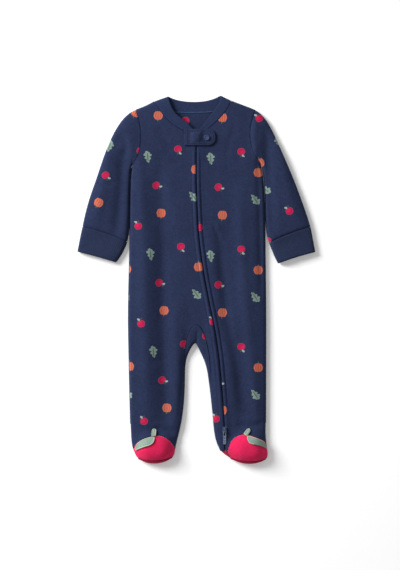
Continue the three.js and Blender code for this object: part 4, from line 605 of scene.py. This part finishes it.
zip_tape = woven_tape("woven_zip_tape", "2E3B5F", "141B30")
nylon_coil = spun_thread("nylon_coil", "46567E", "222C4C", 1.2 * MM, 0.45)
navy_thread = spun_thread("navy_polyester_thread", "3C4A72", "242E50", 1.0 * MM, 0.55)
# painted shade: the dark and crimson threads also make the dark cords sunk in seam dips and in the tab's fold
thread_and_painted_seam_shade = spun_thread("dark_thread_and_painted_seam_shade", "1C2440", "10162C", 1.0 * MM, 0.7)
crimson_thread_and_painted_seam_shade = spun_thread("crimson_thread_painted_seam_shade", "8E1236", "6C0A26", 1.0 * MM, 0.6)
sage_floss = spun_thread("sage_rayon_floss", "C0C2B0", "93A38E", 0.8 * MM, 0.4)
rose_floss = spun_thread("rose_rayon_floss", "EC6A8C", "C8305C", 0.8 * MM, 0.4)
# painted glint: the pale wear colours of the slider and the pull also stand in for glints
navy_slider = die_cast("navy_painted_zinc", "2C3858", "6A7894", 0.3, 0.35)
blue_pull = die_cast("blue_painted_zinc", "52637F", "B0BECD", 0.5, 0.3)
navy_snap = die_cast("navy_enamelled_brass", "2F3D60", "3E4C70", 0.0, 0.4)
print("threads, tape and metals: 9")

# %% [markdown]
# ## Cloth from the frame's pieces
# Each CAD piece has the right outline and the right broad form, but flat facets. A copy of it is
# merged, its triangles are joined to four-sided faces, and its sharp rims are creased. Two rounds
# of subdivision then turn it into cloth with a soft, narrow fold at every edge.

# %% Cloth from the frame's pieces
RIM_ANGLE = math.radians(55)


def subdivided_copy(node, levels=2, crease=0.8):
    """A smooth copy of a CAD piece as a finished mesh object."""
    bm = bmesh.new()
    bm.from_mesh(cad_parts[node].data)
    bmesh.ops.remove_doubles(bm, verts=bm.verts, dist=0.002 * MM)
    bmesh.ops.join_triangles(bm, faces=bm.faces, angle_face_threshold=math.radians(18),
                             angle_shape_threshold=math.radians(70))
    layer = bm.edges.layers.float.new("crease_edge")
    for edge in bm.edges:
        if len(edge.link_faces) == 2 and edge.calc_face_angle() > RIM_ANGLE:
            edge[layer] = crease
    for face in bm.faces:
        face.smooth = True
    mesh = bpy.data.meshes.new(node)
    bm.to_mesh(mesh)
    bm.free()
    piece = bpy.data.objects.new("cloth_" + node, mesh)
    bpy.context.scene.collection.objects.link(piece)
    rounding = piece.modifiers.new("rounding", "SUBSURF")
    rounding.levels = rounding.render_levels = levels
    graph = bpy.context.evaluated_depsgraph_get()
    smooth = bpy.data.meshes.new_from_object(piece.evaluated_get(graph))
    piece.modifiers.clear()
    piece.data = smooth
    bpy.data.meshes.remove(mesh)
    smooth.name = piece.name
    return piece


FLEECE_PIECES = list(PRINTS)
CLOTH = {node: subdivided_copy(node) for node in FLEECE_PIECES}
for node in ("cuff_left", "cuff_right", "neckband", "toe_cap_left", "toe_cap_right", "sole_left",
             "sole_right", "leaf_left", "leaf_right", "stem_left", "stem_right", "zip_tab", "zip_chain"):
    CLOTH[node] = subdivided_copy(node)
print("cloth triangles:", sum(2 * len(piece.data.polygons) for piece in CLOTH.values()))

# %% [markdown]
# ## Where the zip runs
# The zip slants from the neck to one ankle. Its line steers the folded edges beside it, the coil
# and two rows of stitches, so it comes before all of them. A path beside it is the line moved
# sideways along its own normals.

# %% Where the zip runs
ZIP_LINE = [
    # sideways and up the garment, in mm from its middle
    (-1, 216), (-1, 151), (0.6, 113), (2.6, 74), (5.6, 49), (9, 23), (13.4, -2), (18.4, -28), (23.6, -54),
    (28.8, -79), (32.8, -105), (36, -130), (39, -162), (41.6, -194), (43.6, -226), (44.1, -236),
]
zip_path = [from_middle(x, y) for x, y in ZIP_LINE]


def side_path(path, aside):
    """A path that runs beside another, to its left when aside is positive."""
    beside = []
    for i, point in enumerate(path):
        ahead = path[min(i + 1, len(path) - 1)] - path[max(i - 1, 0)]
        across = Vector((-ahead.y, ahead.x, 0)).normalized()
        beside.append(Vector((point.x, point.y, 0)) + across * aside)
    return beside


print("zip length", round(sum((b - a).length for a, b in zip(zip_path, zip_path[1:])) / MM), "mm")

# %% [markdown]
# ## Creases laid one by one
# A laid-out garment keeps soft troughs and ridges where it was carried and smoothed. Each crease
# here is a short path, as wide as a thumb or narrower, with a height or a depth. Every point of
# the cloth near a path rises or sinks with it, fading to the sides and ends. The seams stay where
# they are, because the move fades out as the cloth comes down to them.

# %% Creases laid one by one
CREASES = [
    # name, half width mm, height mm, then the path as columns and rows
    ("left_flank_ridge", 11, 1.6, [(141, 176), (143, 250), (144, 330), (145, 405)]),
    ("left_flank_trough", 10.5, -2.4, [(160, 150), (163, 240), (163, 330), (166, 428)]),
    ("left_thigh_ridge", 7, 1.1, [(174, 312), (176, 370), (173, 428)]),
    ("left_groin_trough", 4.5, -1.4, [(187, 330), (184, 372), (180, 412)]),
    ("chest_trough", 9, -0.9, [(169, 200), (176, 260), (179, 300)]),
    ("zip_side_trough", 9, -2.5, [(218, 230), (222, 270), (227, 318), (238, 370), (244, 428)]),
    ("zip_side_ridge", 6, 1.3, [(209, 318), (215, 365), (222, 418)]),
    ("right_belly_ridge", 9, 1.6, [(240, 180), (242, 260), (248, 330), (255, 410)]),
    ("sharp_pinch", 2.6, -1.2, [(213, 226), (216, 232), (220, 240)]),
    ("pinch_lip", 2.6, 1.0, [(216, 223), (219, 230), (224, 238)]),
    ("right_flank_trough", 5, -1.6, [(258, 150), (260, 230), (261, 300)]),
    ("left_sleeve_inner", 8.5, -3.0, [(123, 150), (121, 190), (116, 238)]),
    ("left_sleeve_outer", 8, 1.4, [(109, 140), (103, 185), (96, 224)]),
    ("left_sleeve_bend", 4, -1.3, [(120, 132), (126, 143), (125, 157)]),
    ("left_elbow_fold", 5, -0.8, [(96, 180), (106, 184), (117, 182)]),
    ("right_sleeve_inner", 8.5, -3.2, [(266, 125), (269, 180), (273, 234)]),
    ("right_sleeve_outer", 8, 1.0, [(281, 140), (288, 190), (297, 225)]),
    ("right_armhole_ridge", 4.5, 1.6, [(255, 120), (254, 140), (257, 160)]),
    ("right_elbow_fold", 5, -0.8, [(276, 178), (285, 183), (296, 181)]),
    ("left_ankle_one", 4, -1.4, [(141, 428), (152, 431), (162, 428)]),
    ("left_ankle_two", 3.5, -1.3, [(158, 433), (168, 430), (178, 434)]),
    ("left_ankle_lip", 3.5, 1.0, [(150, 425), (164, 424), (176, 427)]),
    ("right_ankle_one", 4, -1.3, [(236, 424), (247, 427), (262, 424)]),
    ("right_ankle_lip", 3.5, 0.9, [(240, 419), (252, 420), (264, 418)]),
    ("left_knee_pull", 6, -0.7, [(136, 356), (150, 362), (170, 358)]),
    ("crotch_notch", 2.4, -1.3, [(197.5, 330), (196.5, 346)]),
    ("neck_left_pull", 5, -0.7, [(158, 128), (166, 140), (170, 156)]),
    ("neck_right_pull", 5, -0.7, [(236, 126), (230, 140), (226, 158)]),
]
ZIP_CREASES = [
    # name, half width mm, height mm, how far beside the zip in mm
    ("welt_wide", 2.3, 0.8, -3.6),
    ("welt_narrow", 2.3, 0.7, 3.6),
    ("needle_line_wide", 1.2, -1.0, -6.9),
    ("needle_line_narrow", 1.2, -1.2, 6.9),
]
SEAM_LEVEL = 4.4 * MM
FULL_LEVEL = 7.4 * MM
WALL = 2.4 * MM
UNDERSIDE_FLOOR = 2.8 * MM
END_FADE = 5


def along_path(places, path):
    """How far each place is from the path, and how far along it the nearest point is, 0 to 1."""
    lengths = [(b - a).length for a, b in zip(path, path[1:])]
    nearest = np.full(len(places), 1e9)
    share = np.zeros(len(places))
    passed = 0.0
    for (a, b), length in zip(zip(path, path[1:]), lengths):
        a, b = np.array(a[:2]), np.array(b[:2])
        t = np.clip((places - a) @ (b - a) / length ** 2, 0, 1)
        gap = np.linalg.norm(places - a - t[:, None] * (b - a), axis=1)
        closer = gap < nearest
        nearest[closer] = gap[closer]
        share[closer] = (passed + t[closer] * length) / sum(lengths)
        passed += length
    return nearest, share


def unevenness(places):
    """A slow rise and fall of the cloth, two or three centimetres across, the same each run."""
    x, y = places[:, 0] / MM, places[:, 1] / MM
    return (
        np.sin(x / 7.3 + 1.7 * np.sin(y / 19.0)) * np.sin(y / 11.9 + 0.8)
        + 0.6 * np.sin(x / 4.1 + y / 6.7 + 2.0) * np.sin(y / 8.3 - x / 15.0)
    )


def crease(piece, paths, roughness=0.13 * MM):
    """Lays creases on a piece of cloth that has an upper and a lower wall."""
    mesh = piece.data
    count = len(mesh.vertices)
    points = np.empty(count * 3)
    mesh.vertices.foreach_get("co", points)
    points = points.reshape(-1, 3)
    normals = np.empty(count * 3)
    mesh.vertex_normals.foreach_get("vector", normals)
    upward = normals.reshape(-1, 3)[:, 2]
    outer = points[:, 2] + 0.5 * WALL * (1 - upward)
    hold = np.clip((outer - SEAM_LEVEL) / (FULL_LEVEL - SEAM_LEVEL), 0, 1)
    hold = hold * hold * (3 - 2 * hold)
    lift = np.zeros(count)
    for half_width, height, path in paths:
        gap, share = along_path(points[:, :2], path)
        fade = np.clip(END_FADE * share, 0, 1) * np.clip(END_FADE * (1 - share), 0, 1)
        lift += height * MM * np.exp(-((gap / (half_width * MM)) ** 2)) * np.sqrt(fade)
    lift += roughness * unevenness(points[:, :2])
    moved = points[:, 2] + lift * hold
    under = upward < -0.2
    moved[under] = np.maximum(moved[under], np.minimum(points[under, 2], UNDERSIDE_FLOOR))
    points[:, 2] = moved
    mesh.vertices.foreach_set("co", points.ravel())
    mesh.update()
    return float(np.abs(lift * hold).max() / MM)


front_paths = [(half_width, height, [at(*p) for p in path]) for _, half_width, height, path in CREASES]
front_paths += [(half_width, height, side_path(zip_path, aside * MM))
                for _, half_width, height, aside in ZIP_CREASES]
for node in ("front_panel_wide", "front_panel_narrow", "sleeve_left", "sleeve_right", "gusset"):
    print(node, "moved at most", round(crease(CLOTH[node], front_paths), 2), "mm")

# %% [markdown]
# ## Creases on the hidden side
# The back panel is smoothed on the table, so its outer face is nearly flat. Where the cloth was
# pulled it still lifts off the table by under a millimetre. Only the face towards the table
# moves, into the thickness of the cloth.

# %% Creases on the hidden side
BACK_CREASES = [
    # name, half width mm, height mm, then the path as columns and rows
    ("left_back_fold", 9, 0.8, [(150, 150), (155, 230), (158, 330), (158, 420)]),
    ("middle_back_fold", 10, 0.7, [(196, 140), (199, 220), (202, 300)]),
    ("right_back_fold", 9, 0.8, [(246, 160), (243, 240), (246, 330), (248, 415)]),
    ("seat_fold", 7, 0.7, [(160, 292), (196, 300), (240, 290)]),
    ("left_knee_fold", 6, 0.6, [(138, 372), (158, 378), (178, 372)]),
    ("right_knee_fold", 6, 0.6, [(226, 366), (244, 372), (260, 368)]),
    ("shoulder_fold", 7, 0.6, [(136, 134), (160, 142), (230, 142), (256, 130)]),
]
TABLE_FACE = 0.05 * MM


def crease_underside(piece, paths):
    """Lifts the face that lies on the table along each path."""
    mesh = piece.data
    points = np.empty(len(mesh.vertices) * 3)
    mesh.vertices.foreach_get("co", points)
    points = points.reshape(-1, 3)
    lying = points[:, 2] < TABLE_FACE
    lift = np.zeros(len(points))
    for half_width, height, path in paths:
        gap, share = along_path(points[:, :2], path)
        fade = np.clip(END_FADE * share, 0, 1) * np.clip(END_FADE * (1 - share), 0, 1)
        lift += height * MM * np.exp(-((gap / (half_width * MM)) ** 2)) * np.sqrt(fade)
    points[lying, 2] += lift[lying]
    mesh.vertices.foreach_set("co", points.ravel())
    mesh.update()
    return float(lift[lying].max() / MM)


back_paths = [(half_width, height, [at(*p) for p in path]) for _, half_width, height, path in BACK_CREASES]
print("back panel lifted at most", round(crease_underside(CLOTH["back_panel"], back_paths), 2), "mm")

# %% [markdown]
# ## Dressing each piece
# Every copy gets its finish, rides on the garment, and stands for its CAD piece.

# %% Dressing each piece
CUTS = {
    # piece: material, slot, flat width and length in metres, flat area in square metres
    "back_panel": (FINISH["back_panel"], "fleece", (0.235, 0.575), 0.1110),
    "front_panel_wide": (FINISH["front_panel_wide"], "fleece", (0.160, 0.565), 0.0586),
    "front_panel_narrow": (FINISH["front_panel_narrow"], "fleece", (0.125, 0.565), 0.0480),
    "gusset": (FINISH["gusset"], "fleece", (0.050, 0.110), 0.0019),
    "sleeve_left": (FINISH["sleeve_left"], "fleece", (0.170, 0.215), 0.0220),
    "sleeve_right": (FINISH["sleeve_right"], "fleece", (0.170, 0.215), 0.0198),
    "cuff_left": (rib_cuff_left, "rib", (0.150, 0.045), 0.0060),
    "cuff_right": (rib_cuff_right, "rib", (0.150, 0.045), 0.0057),
    "neckband": (rib_neckband, "rib", (0.330, 0.018), 0.0052),
    "toe_cap_left": (crimson_fleece, "crimson", (0.075, 0.045), 0.0025),
    "toe_cap_right": (crimson_fleece, "crimson", (0.075, 0.045), 0.0027),
    "sole_left": (sole_fleece, "sole", (0.085, 0.022), 0.0014),
    "sole_right": (sole_fleece, "sole", (0.085, 0.022), 0.0017),
    "leaf_left": (sage_fleece, "sage", (0.032, 0.022), 0.00037),
    "leaf_right": (sage_fleece, "sage", (0.032, 0.022), 0.00037),
    "zip_tab": (navy_fleece, "fleece", (0.052, 0.028), 0.0013),
    "zip_chain": (zip_tape, "tape", (0.016, 0.490), 0.0076),
}
TRIMS = {"stem_left": (sage_fleece, "sage"), "stem_right": (sage_fleece, "sage")}


def dress(piece, material, slot, *nodes):
    """Gives a finished piece its material, and makes it ride on the garment. The slot is not used."""
    piece.data.materials.clear()
    piece.data.materials.append(material)
    if nodes:
        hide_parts(*nodes)
    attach(piece, "garment")
    return piece


for node, (material, slot, _, _) in CUTS.items():
    dress(CLOTH[node], material, slot, node)
for node, (material, slot) in TRIMS.items():
    dress(CLOTH[node], material, slot, node)
print("dressed:", len(CLOTH), "pieces of cloth")

# %% [markdown]
# ## Sewing along a path
# A machine stitch is a short thread that dips into the cloth at both ends. Each is a tiny ball
# pulled long, laid on the cloth by a ray dropped from above. A row of a few hundred stitches is
# one object, so each stitch has only a few dozen faces.

# %% Sewing along a path


def tree_of(pieces):
    """The surfaces of several pieces, ready for a ray."""
    bm = bmesh.new()
    for piece in pieces:
        bm.from_mesh(piece.data)
    surfaces = BVHTree.FromBMesh(bm)
    bm.free()
    return surfaces


def even_points(path, pitch, closed=False):
    """Points the same distance apart along a path."""
    path = [Vector((*p[:2], 0)) for p in path]
    if closed:
        path.append(path[0])
    points = []
    left = 0.0
    for a, b in zip(path, path[1:]):
        length = (b - a).length
        while left <= length and length > 0:
            points.append(a.lerp(b, left / length))
            left += pitch
        left -= length
    return points


def drop(points, surfaces, lift):
    """Lets each point fall on the cloth, then lifts it by a little."""
    landed = []
    for point in points:
        hit, _, _, _ = surfaces.ray_cast(Vector((point.x, point.y, 0.1)), Vector((0, 0, -1)))
        if hit:
            landed.append(hit + Vector((0, 0, lift)))
    return landed


def finish_mesh(name, bm, material, slot):
    """Turns a bmesh into a finished piece that rides on the garment."""
    for face in bm.faces:
        face.smooth = True
    mesh = bpy.data.meshes.new(name)
    bm.to_mesh(mesh)
    bm.free()
    piece = bpy.data.objects.new(name, mesh)
    bpy.context.scene.collection.objects.link(piece)
    return dress(piece, material, slot)


def stitch_row(name, path, pitch, length, thickness, surfaces, material, slot, lift=0.0, closed=False):
    """A row of stitches on the cloth."""
    points = drop(even_points(path, pitch, closed), surfaces, lift)
    bm = bmesh.new()
    for here, there in zip(points, points[1:]):
        step = there - here
        if step.length > 2.5 * pitch:
            continue
        ball = bmesh.ops.create_uvsphere(bm, u_segments=6, v_segments=5, radius=0.5)
        size = Matrix.Diagonal((thickness, thickness, length, 1))
        turn = step.to_track_quat("Z", "Y").to_matrix().to_4x4()
        bmesh.ops.transform(bm, matrix=Matrix.Translation(here) @ turn @ size, verts=ball["verts"])
    return finish_mesh(name, bm, material, slot)

# %% [markdown]
# ## The zip
# The closed coil lies in the slit between two folded edges, dyed like the cloth. A needle has run
# down beside it on each side, through the fold and the tape. The teeth are one nylon wire wound
# in loops; at rest only the crowns of the loops show.

# %% The zip
chain_surface = tree_of([CLOTH["zip_chain"]])
front_surface = tree_of([CLOTH["front_panel_wide"], CLOTH["front_panel_narrow"]])

COIL_PITCH = 1.5 * MM
bm = bmesh.new()
crowns = drop(even_points(zip_path, COIL_PITCH), chain_surface, 0.1 * MM)
for here, there in zip(crowns, crowns[1:]):
    ball = bmesh.ops.create_uvsphere(bm, u_segments=8, v_segments=5, radius=0.5)
    size = Matrix.Diagonal((1.0 * MM, 0.9 * MM, 3.6 * MM, 1))
    across = (there - here).cross(Vector((0, 0, 1)))
    turn = across.to_track_quat("Z", "Y").to_matrix().to_4x4()
    bmesh.ops.transform(bm, matrix=Matrix.Translation(here) @ turn @ size, verts=ball["verts"])
coil = finish_mesh("coil_crowns", bm, nylon_coil, "tape")

STITCH_ASIDE = 6.7 * MM
zip_stitches = [
    stitch_row("topstitch_wide", side_path(zip_path, -STITCH_ASIDE), 2.9 * MM, 2.5 * MM, 0.75 * MM,
               front_surface, navy_thread, "fleece", 0.05 * MM),
    stitch_row("topstitch_narrow", side_path(zip_path, STITCH_ASIDE), 2.9 * MM, 2.5 * MM, 0.75 * MM,
               front_surface, navy_thread, "fleece", 0.05 * MM),
]
print("coil crowns:", len(crowns) - 1)

# %% [markdown]
# ## The satin-stitched edges
# The leaf and the stem on each toe are held by a narrow band of satin stitch, a pale floss laid
# side by side over the raw edge. The toe cap's upper edge has the same band in rose. A tube that
# follows the rim is the simplest true form. The rim of each leaf and stem is found in the mesh: it
# is where the top of the appliqué turns down. The cap's edge is a listed path.

# %% The satin-stitched edges


def rim_loop(node):
    """The outline of an appliqué's top, as points in order."""
    bm = bmesh.new()
    bm.from_mesh(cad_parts[node].data)
    bmesh.ops.remove_doubles(bm, verts=bm.verts, dist=0.002 * MM)
    rim = set()
    for edge in bm.edges:
        heights = sorted(face.normal.z for face in edge.link_faces)
        if len(heights) == 2 and heights[1] > 0.6 and heights[0] < 0.35:
            rim.add(edge)
    start = next(iter(rim))
    loop = [start.verts[0], start.verts[1]]
    rim.discard(start)
    while True:
        following = [e for e in loop[-1].link_edges if e in rim]
        if not following:
            break
        rim.discard(following[0])
        loop.append(following[0].other_vert(loop[-1]))
    points = [vert.co.copy() for vert in loop]
    bm.free()
    if (points[0] - points[-1]).length < 0.1 * MM:
        points.pop()
    return points


def tube(name, points, radius, material, slot, closed):
    """A round band along a path, made as a curve and finished as a mesh."""
    curve = bpy.data.curves.new(name, "CURVE")
    curve.dimensions = "3D"
    curve.bevel_depth = radius
    curve.bevel_resolution = 2
    curve.use_fill_caps = True
    spline = curve.splines.new("POLY")
    spline.points.add(len(points) - 1)
    for place, point in zip(spline.points, points):
        place.co = (*point, 1)
    spline.use_cyclic_u = closed
    line = bpy.data.objects.new(name, curve)
    bpy.context.scene.collection.objects.link(line)
    graph = bpy.context.evaluated_depsgraph_get()
    mesh = bpy.data.meshes.new_from_object(line.evaluated_get(graph))
    bpy.data.objects.remove(line)
    bm = bmesh.new()
    bm.from_mesh(mesh)
    bpy.data.meshes.remove(mesh)
    bmesh.ops.remove_doubles(bm, verts=bm.verts, dist=0.001 * MM)
    bmesh.ops.recalc_face_normals(bm, faces=bm.faces)
    return finish_mesh(name, bm, material, slot)


BAND_RADIUS = 0.75 * MM
for node in ("leaf_left", "leaf_right", "stem_left", "stem_right"):
    outline = rim_loop(node)
    surface = tree_of([CLOTH[node]])
    band = tube("satin_" + node, [p - Vector((0, 0, 0.25 * MM)) for p in outline], BAND_RADIUS,
                sage_floss, "sage", True)
    print(node, "outline points:", len(outline))

CAP_EDGES = {
    "left": [(133.9, 449.0), (135.6, 445.0), (138.8, 441.9), (145.4, 438.4), (151.6, 436.4), (157, 435.8),
             (160.7, 435.9), (166, 438), (170, 441.4), (173, 445.4), (174.3, 449.0)],
    "right": [(229.5, 455.6), (228.6, 450.6), (228.9, 446.3), (231.4, 441.4), (234.6, 437.8), (238, 435.9),
              (242, 434.9), (246.5, 434.9), (252, 436.2), (257.6, 438.4), (262.3, 441), (265.6, 446),
              (267.2, 451.5)],
}
for side, path in CAP_EDGES.items():
    surfaces = tree_of([CLOTH["toe_cap_" + side], CLOTH["front_panel_wide"], CLOTH["front_panel_narrow"]])
    points = drop(even_points([at(*p) for p in path], 1.2 * MM), surfaces, -0.1 * MM)
    tube("satin_cap_" + side, points, 0.6 * MM, rose_floss, "crimson", False)

# %% [markdown]
# ## The guard tab, the snap and the slider
# The tab folds over the top of the zip so that nothing scratches the chin. It is stitched down at
# its fixed end, where a dark cord sunk in the cloth paints the shade of the fold over the seam, and
# round its rim. One enamelled ring snap closes it. The slider and its pull keep their CAD shape and
# only get their metal.

# %% The guard tab, the snap and the slider
tab_surface = tree_of([CLOTH["zip_tab"]])
TAB_SEAM = [(187.9, 129.4), (187.9, 144.9)]
# painted shade: a dark thread tube sunk under the tab's surface along its fold
tab_fold_painted_shade = tube("tab_fold_painted_shade", drop(even_points([at(*p) for p in TAB_SEAM], 1.5 * MM), tab_surface, -0.25 * MM),
                0.55 * MM, thread_and_painted_seam_shade, "fleece", False)
TAB_RIM = [(189.4, 143.9), (189.4, 131.3), (209, 131.2), (212.2, 132.6), (213.7, 136), (213.6, 139.6),
           (211.8, 142.8), (208.6, 144)]
tab_rim = [at(*p) for p in TAB_RIM]
tab_stitches = stitch_row("tab_stitches", tab_rim, 2.7 * MM, 2.3 * MM, 0.65 * MM, tab_surface,
                          thread_and_painted_seam_shade, "fleece", 0.0, closed=True)
for node, material in (("snap", navy_snap), ("zip_slider_top", navy_slider), ("zip_slider_low", navy_slider),
                       ("zip_pull", blue_pull)):
    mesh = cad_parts[node].data
    mesh.materials.clear()
    mesh.materials.append(material)
print("tab stitches:", len(tab_stitches.data.polygons) // 30)

# %% [markdown]
# ## The neck's inside seam
# Inside the back of the neck, the seam between neckband and back panel is covered by a soft
# rolled tape of fleece, 3 mm thick. It catches the light as one pale line, and its paler colour is a
# painted highlight for that line. It is a tube that lies half sunk in the back panel and ends under
# the front of the neckband.

# %% The neck's inside seam
NECK_SEAM = [(168.5, 110.6), (171, 111), (175.2, 111.6), (185.2, 112.2), (195.2, 112.2), (205.2, 111.9),
             (212.5, 111.2), (216.6, 110.3)]
TAPE_RADIUS = 1.5 * MM
TAPE_LEVEL = 2.0 * MM
neck_tape = tube("neck_seam_tape", [at(*p, TAPE_LEVEL) for p in NECK_SEAM], TAPE_RADIUS, neck_tape_painted_highlight_fleece,
                 "rib", False)
print("neck tape:", len(neck_tape.data.polygons), "faces")

# %% [markdown]
# ## The seams
# A seam pulls the cloth down to its thread. Between two pieces a thin dark cord lies in the dip,
# a little under the surface: it stands for the thread and is painted shade for the dip. At each
# place the dip is found by a row of rays dropped across it, because a drawn line is never quite
# where the cloth is lowest.

# %% The seams
SEAMS = {
    # seam: its thread, its pieces, then its line in mm across and up the pattern
    "armhole_left": (thread_and_painted_seam_shade, ("sleeve_left", "front_panel_wide"),
                     [(-98.4, 274), (-93, 258), (-89.8, 241), (-89.8, 224), (-93, 203), (-104, 185)]),
    "armhole_right": (thread_and_painted_seam_shade, ("sleeve_right", "front_panel_narrow"),
                      [(94.4, 273), (88, 257), (84.8, 241), (85.6, 221), (91, 202), (102, 187)]),
    "neck_left": (thread_and_painted_seam_shade, ("neckband", "front_panel_wide"),
                  [(-68.8, 287.4), (-62, 276), (-54.4, 265.6), (-47, 257), (-39, 249.6), (-30, 244)]),
    "neck_right": (thread_and_painted_seam_shade, ("neckband", "front_panel_narrow"),
                   [(23, 247), (31, 254.4), (38.4, 262), (45, 270), (51, 279), (54.4, 288.6)]),
    "cuff_left": (thread_and_painted_seam_shade, ("sleeve_left", "cuff_left"),
                  [(-184, 86.2), (-170, 83), (-153, 78), (-134, 71.4), (-112, 62)]),
    "cuff_right": (thread_and_painted_seam_shade, ("sleeve_right", "cuff_right"),
                   [(182.2, 86), (168, 82), (151, 76), (134, 69.4), (116, 61)]),
    "toe_left": (crimson_thread_and_painted_seam_shade, ("toe_cap_left", "sole_left"),
                 [(-97.2, -281.6), (-90, -285), (-80, -286.8), (-67.8, -287.2), (-55.5, -285.8), (-44, -283),
                  (-37.2, -280.4)]),
    "toe_right": (crimson_thread_and_painted_seam_shade, ("toe_cap_right", "sole_right"),
                  [(54, -283.4), (63, -286), (73.6, -287.6), (84, -288.3), (95, -288.2), (105, -286),
                   (112.4, -282.6)]),
}
ACROSS = [step * 0.1 * MM for step in range(-22, 23)]
CORD_RADIUS = 0.6 * MM
CORD_SINK = 0.35 * MM
RIM_LEVEL = 3.0 * MM


def dip_line(path, surfaces):
    """The lowest line of the cloth near a path, just under its surface."""
    line = even_points(path, 2.0 * MM)
    points = []
    for here, there in zip(line, line[1:]):
        across = Vector((here.y - there.y, there.x - here.x, 0)).normalized()
        heights = []
        for step in ACROSS:
            hit = surfaces.ray_cast(here + across * step + Vector((0, 0, 0.1)), Vector((0, 0, -1)))[0]
            heights.append(hit.z if hit else 0.0)
        dips = [step for step, z in zip(ACROSS, heights) if z < min(heights) + 0.2 * MM]
        aside = sum(dips) / len(dips)
        banks = [z for step, z in zip(ACROSS, heights) if 0.6 * MM < abs(step - aside) < 1.2 * MM]
        if min(banks) > RIM_LEVEL:
            points.append(here + across * aside + Vector((0, 0, min(banks) - CORD_SINK)))
    return points


for seam, (thread, pieces, line) in SEAMS.items():
    surfaces = tree_of([CLOTH[piece] for piece in pieces])
    points = dip_line([from_middle(*p) for p in line], surfaces)
    # painted shade: the dark cord in each dip darkens the seam line
    tube("seam_" + seam, points, CORD_RADIUS, thread, "fleece", False)
    print(seam, "cord points:", len(points))

# %% [markdown]
# ## The rolls at the sides
# The side seams and the underarm seams are sewn inside out and turned, so each leaves a soft roll
# of fleece along the edge. The sleeves lie against the body there. Each roll follows the edge,
# which a ray finds by coming in from the side, row by row.

# %% The rolls at the sides
ROLLS = {
    # roll: its piece, where the rays start across, their way, then the rows in mm up the pattern
    "side_left": ("back_panel", -0.3, 1, (182, -232)),
    "side_right": ("back_panel", 0.3, -1, (184, -232)),
    "underarm_left": ("sleeve_left", -0.1, -1, (180, 68)),
    "underarm_right": ("sleeve_right", 0.1, 1, (182, 68)),
}
ROLL_RADIUS = 1.15 * MM
ROLL_LEVEL = 3.2 * MM
ROLL_STEP = 4
INWARD = 0.1 * MM

for roll, (piece, start, way, (top, foot)) in ROLLS.items():
    surfaces = tree_of([CLOTH[piece]])
    points = []
    for row in range(top, foot, -ROLL_STEP):
        source = Vector((start, from_middle(0, row).y, ROLL_LEVEL))
        hit = surfaces.ray_cast(source, Vector((way, 0, 0)))[0]
        if hit:
            points.append(hit + Vector((way * INWARD, 0, 0)))
    tube("roll_" + roll, points, ROLL_RADIUS, navy_fleece, "fleece", False)
    print(roll, "roll points:", len(points))

# %% [markdown]
# ## Counting the sheets
# Each piece of cloth has the size it was cut to in the table of cuts above; this cell only counts the pieces.

# %% Counting the sheets
print("sheets declared:", len(CUTS))
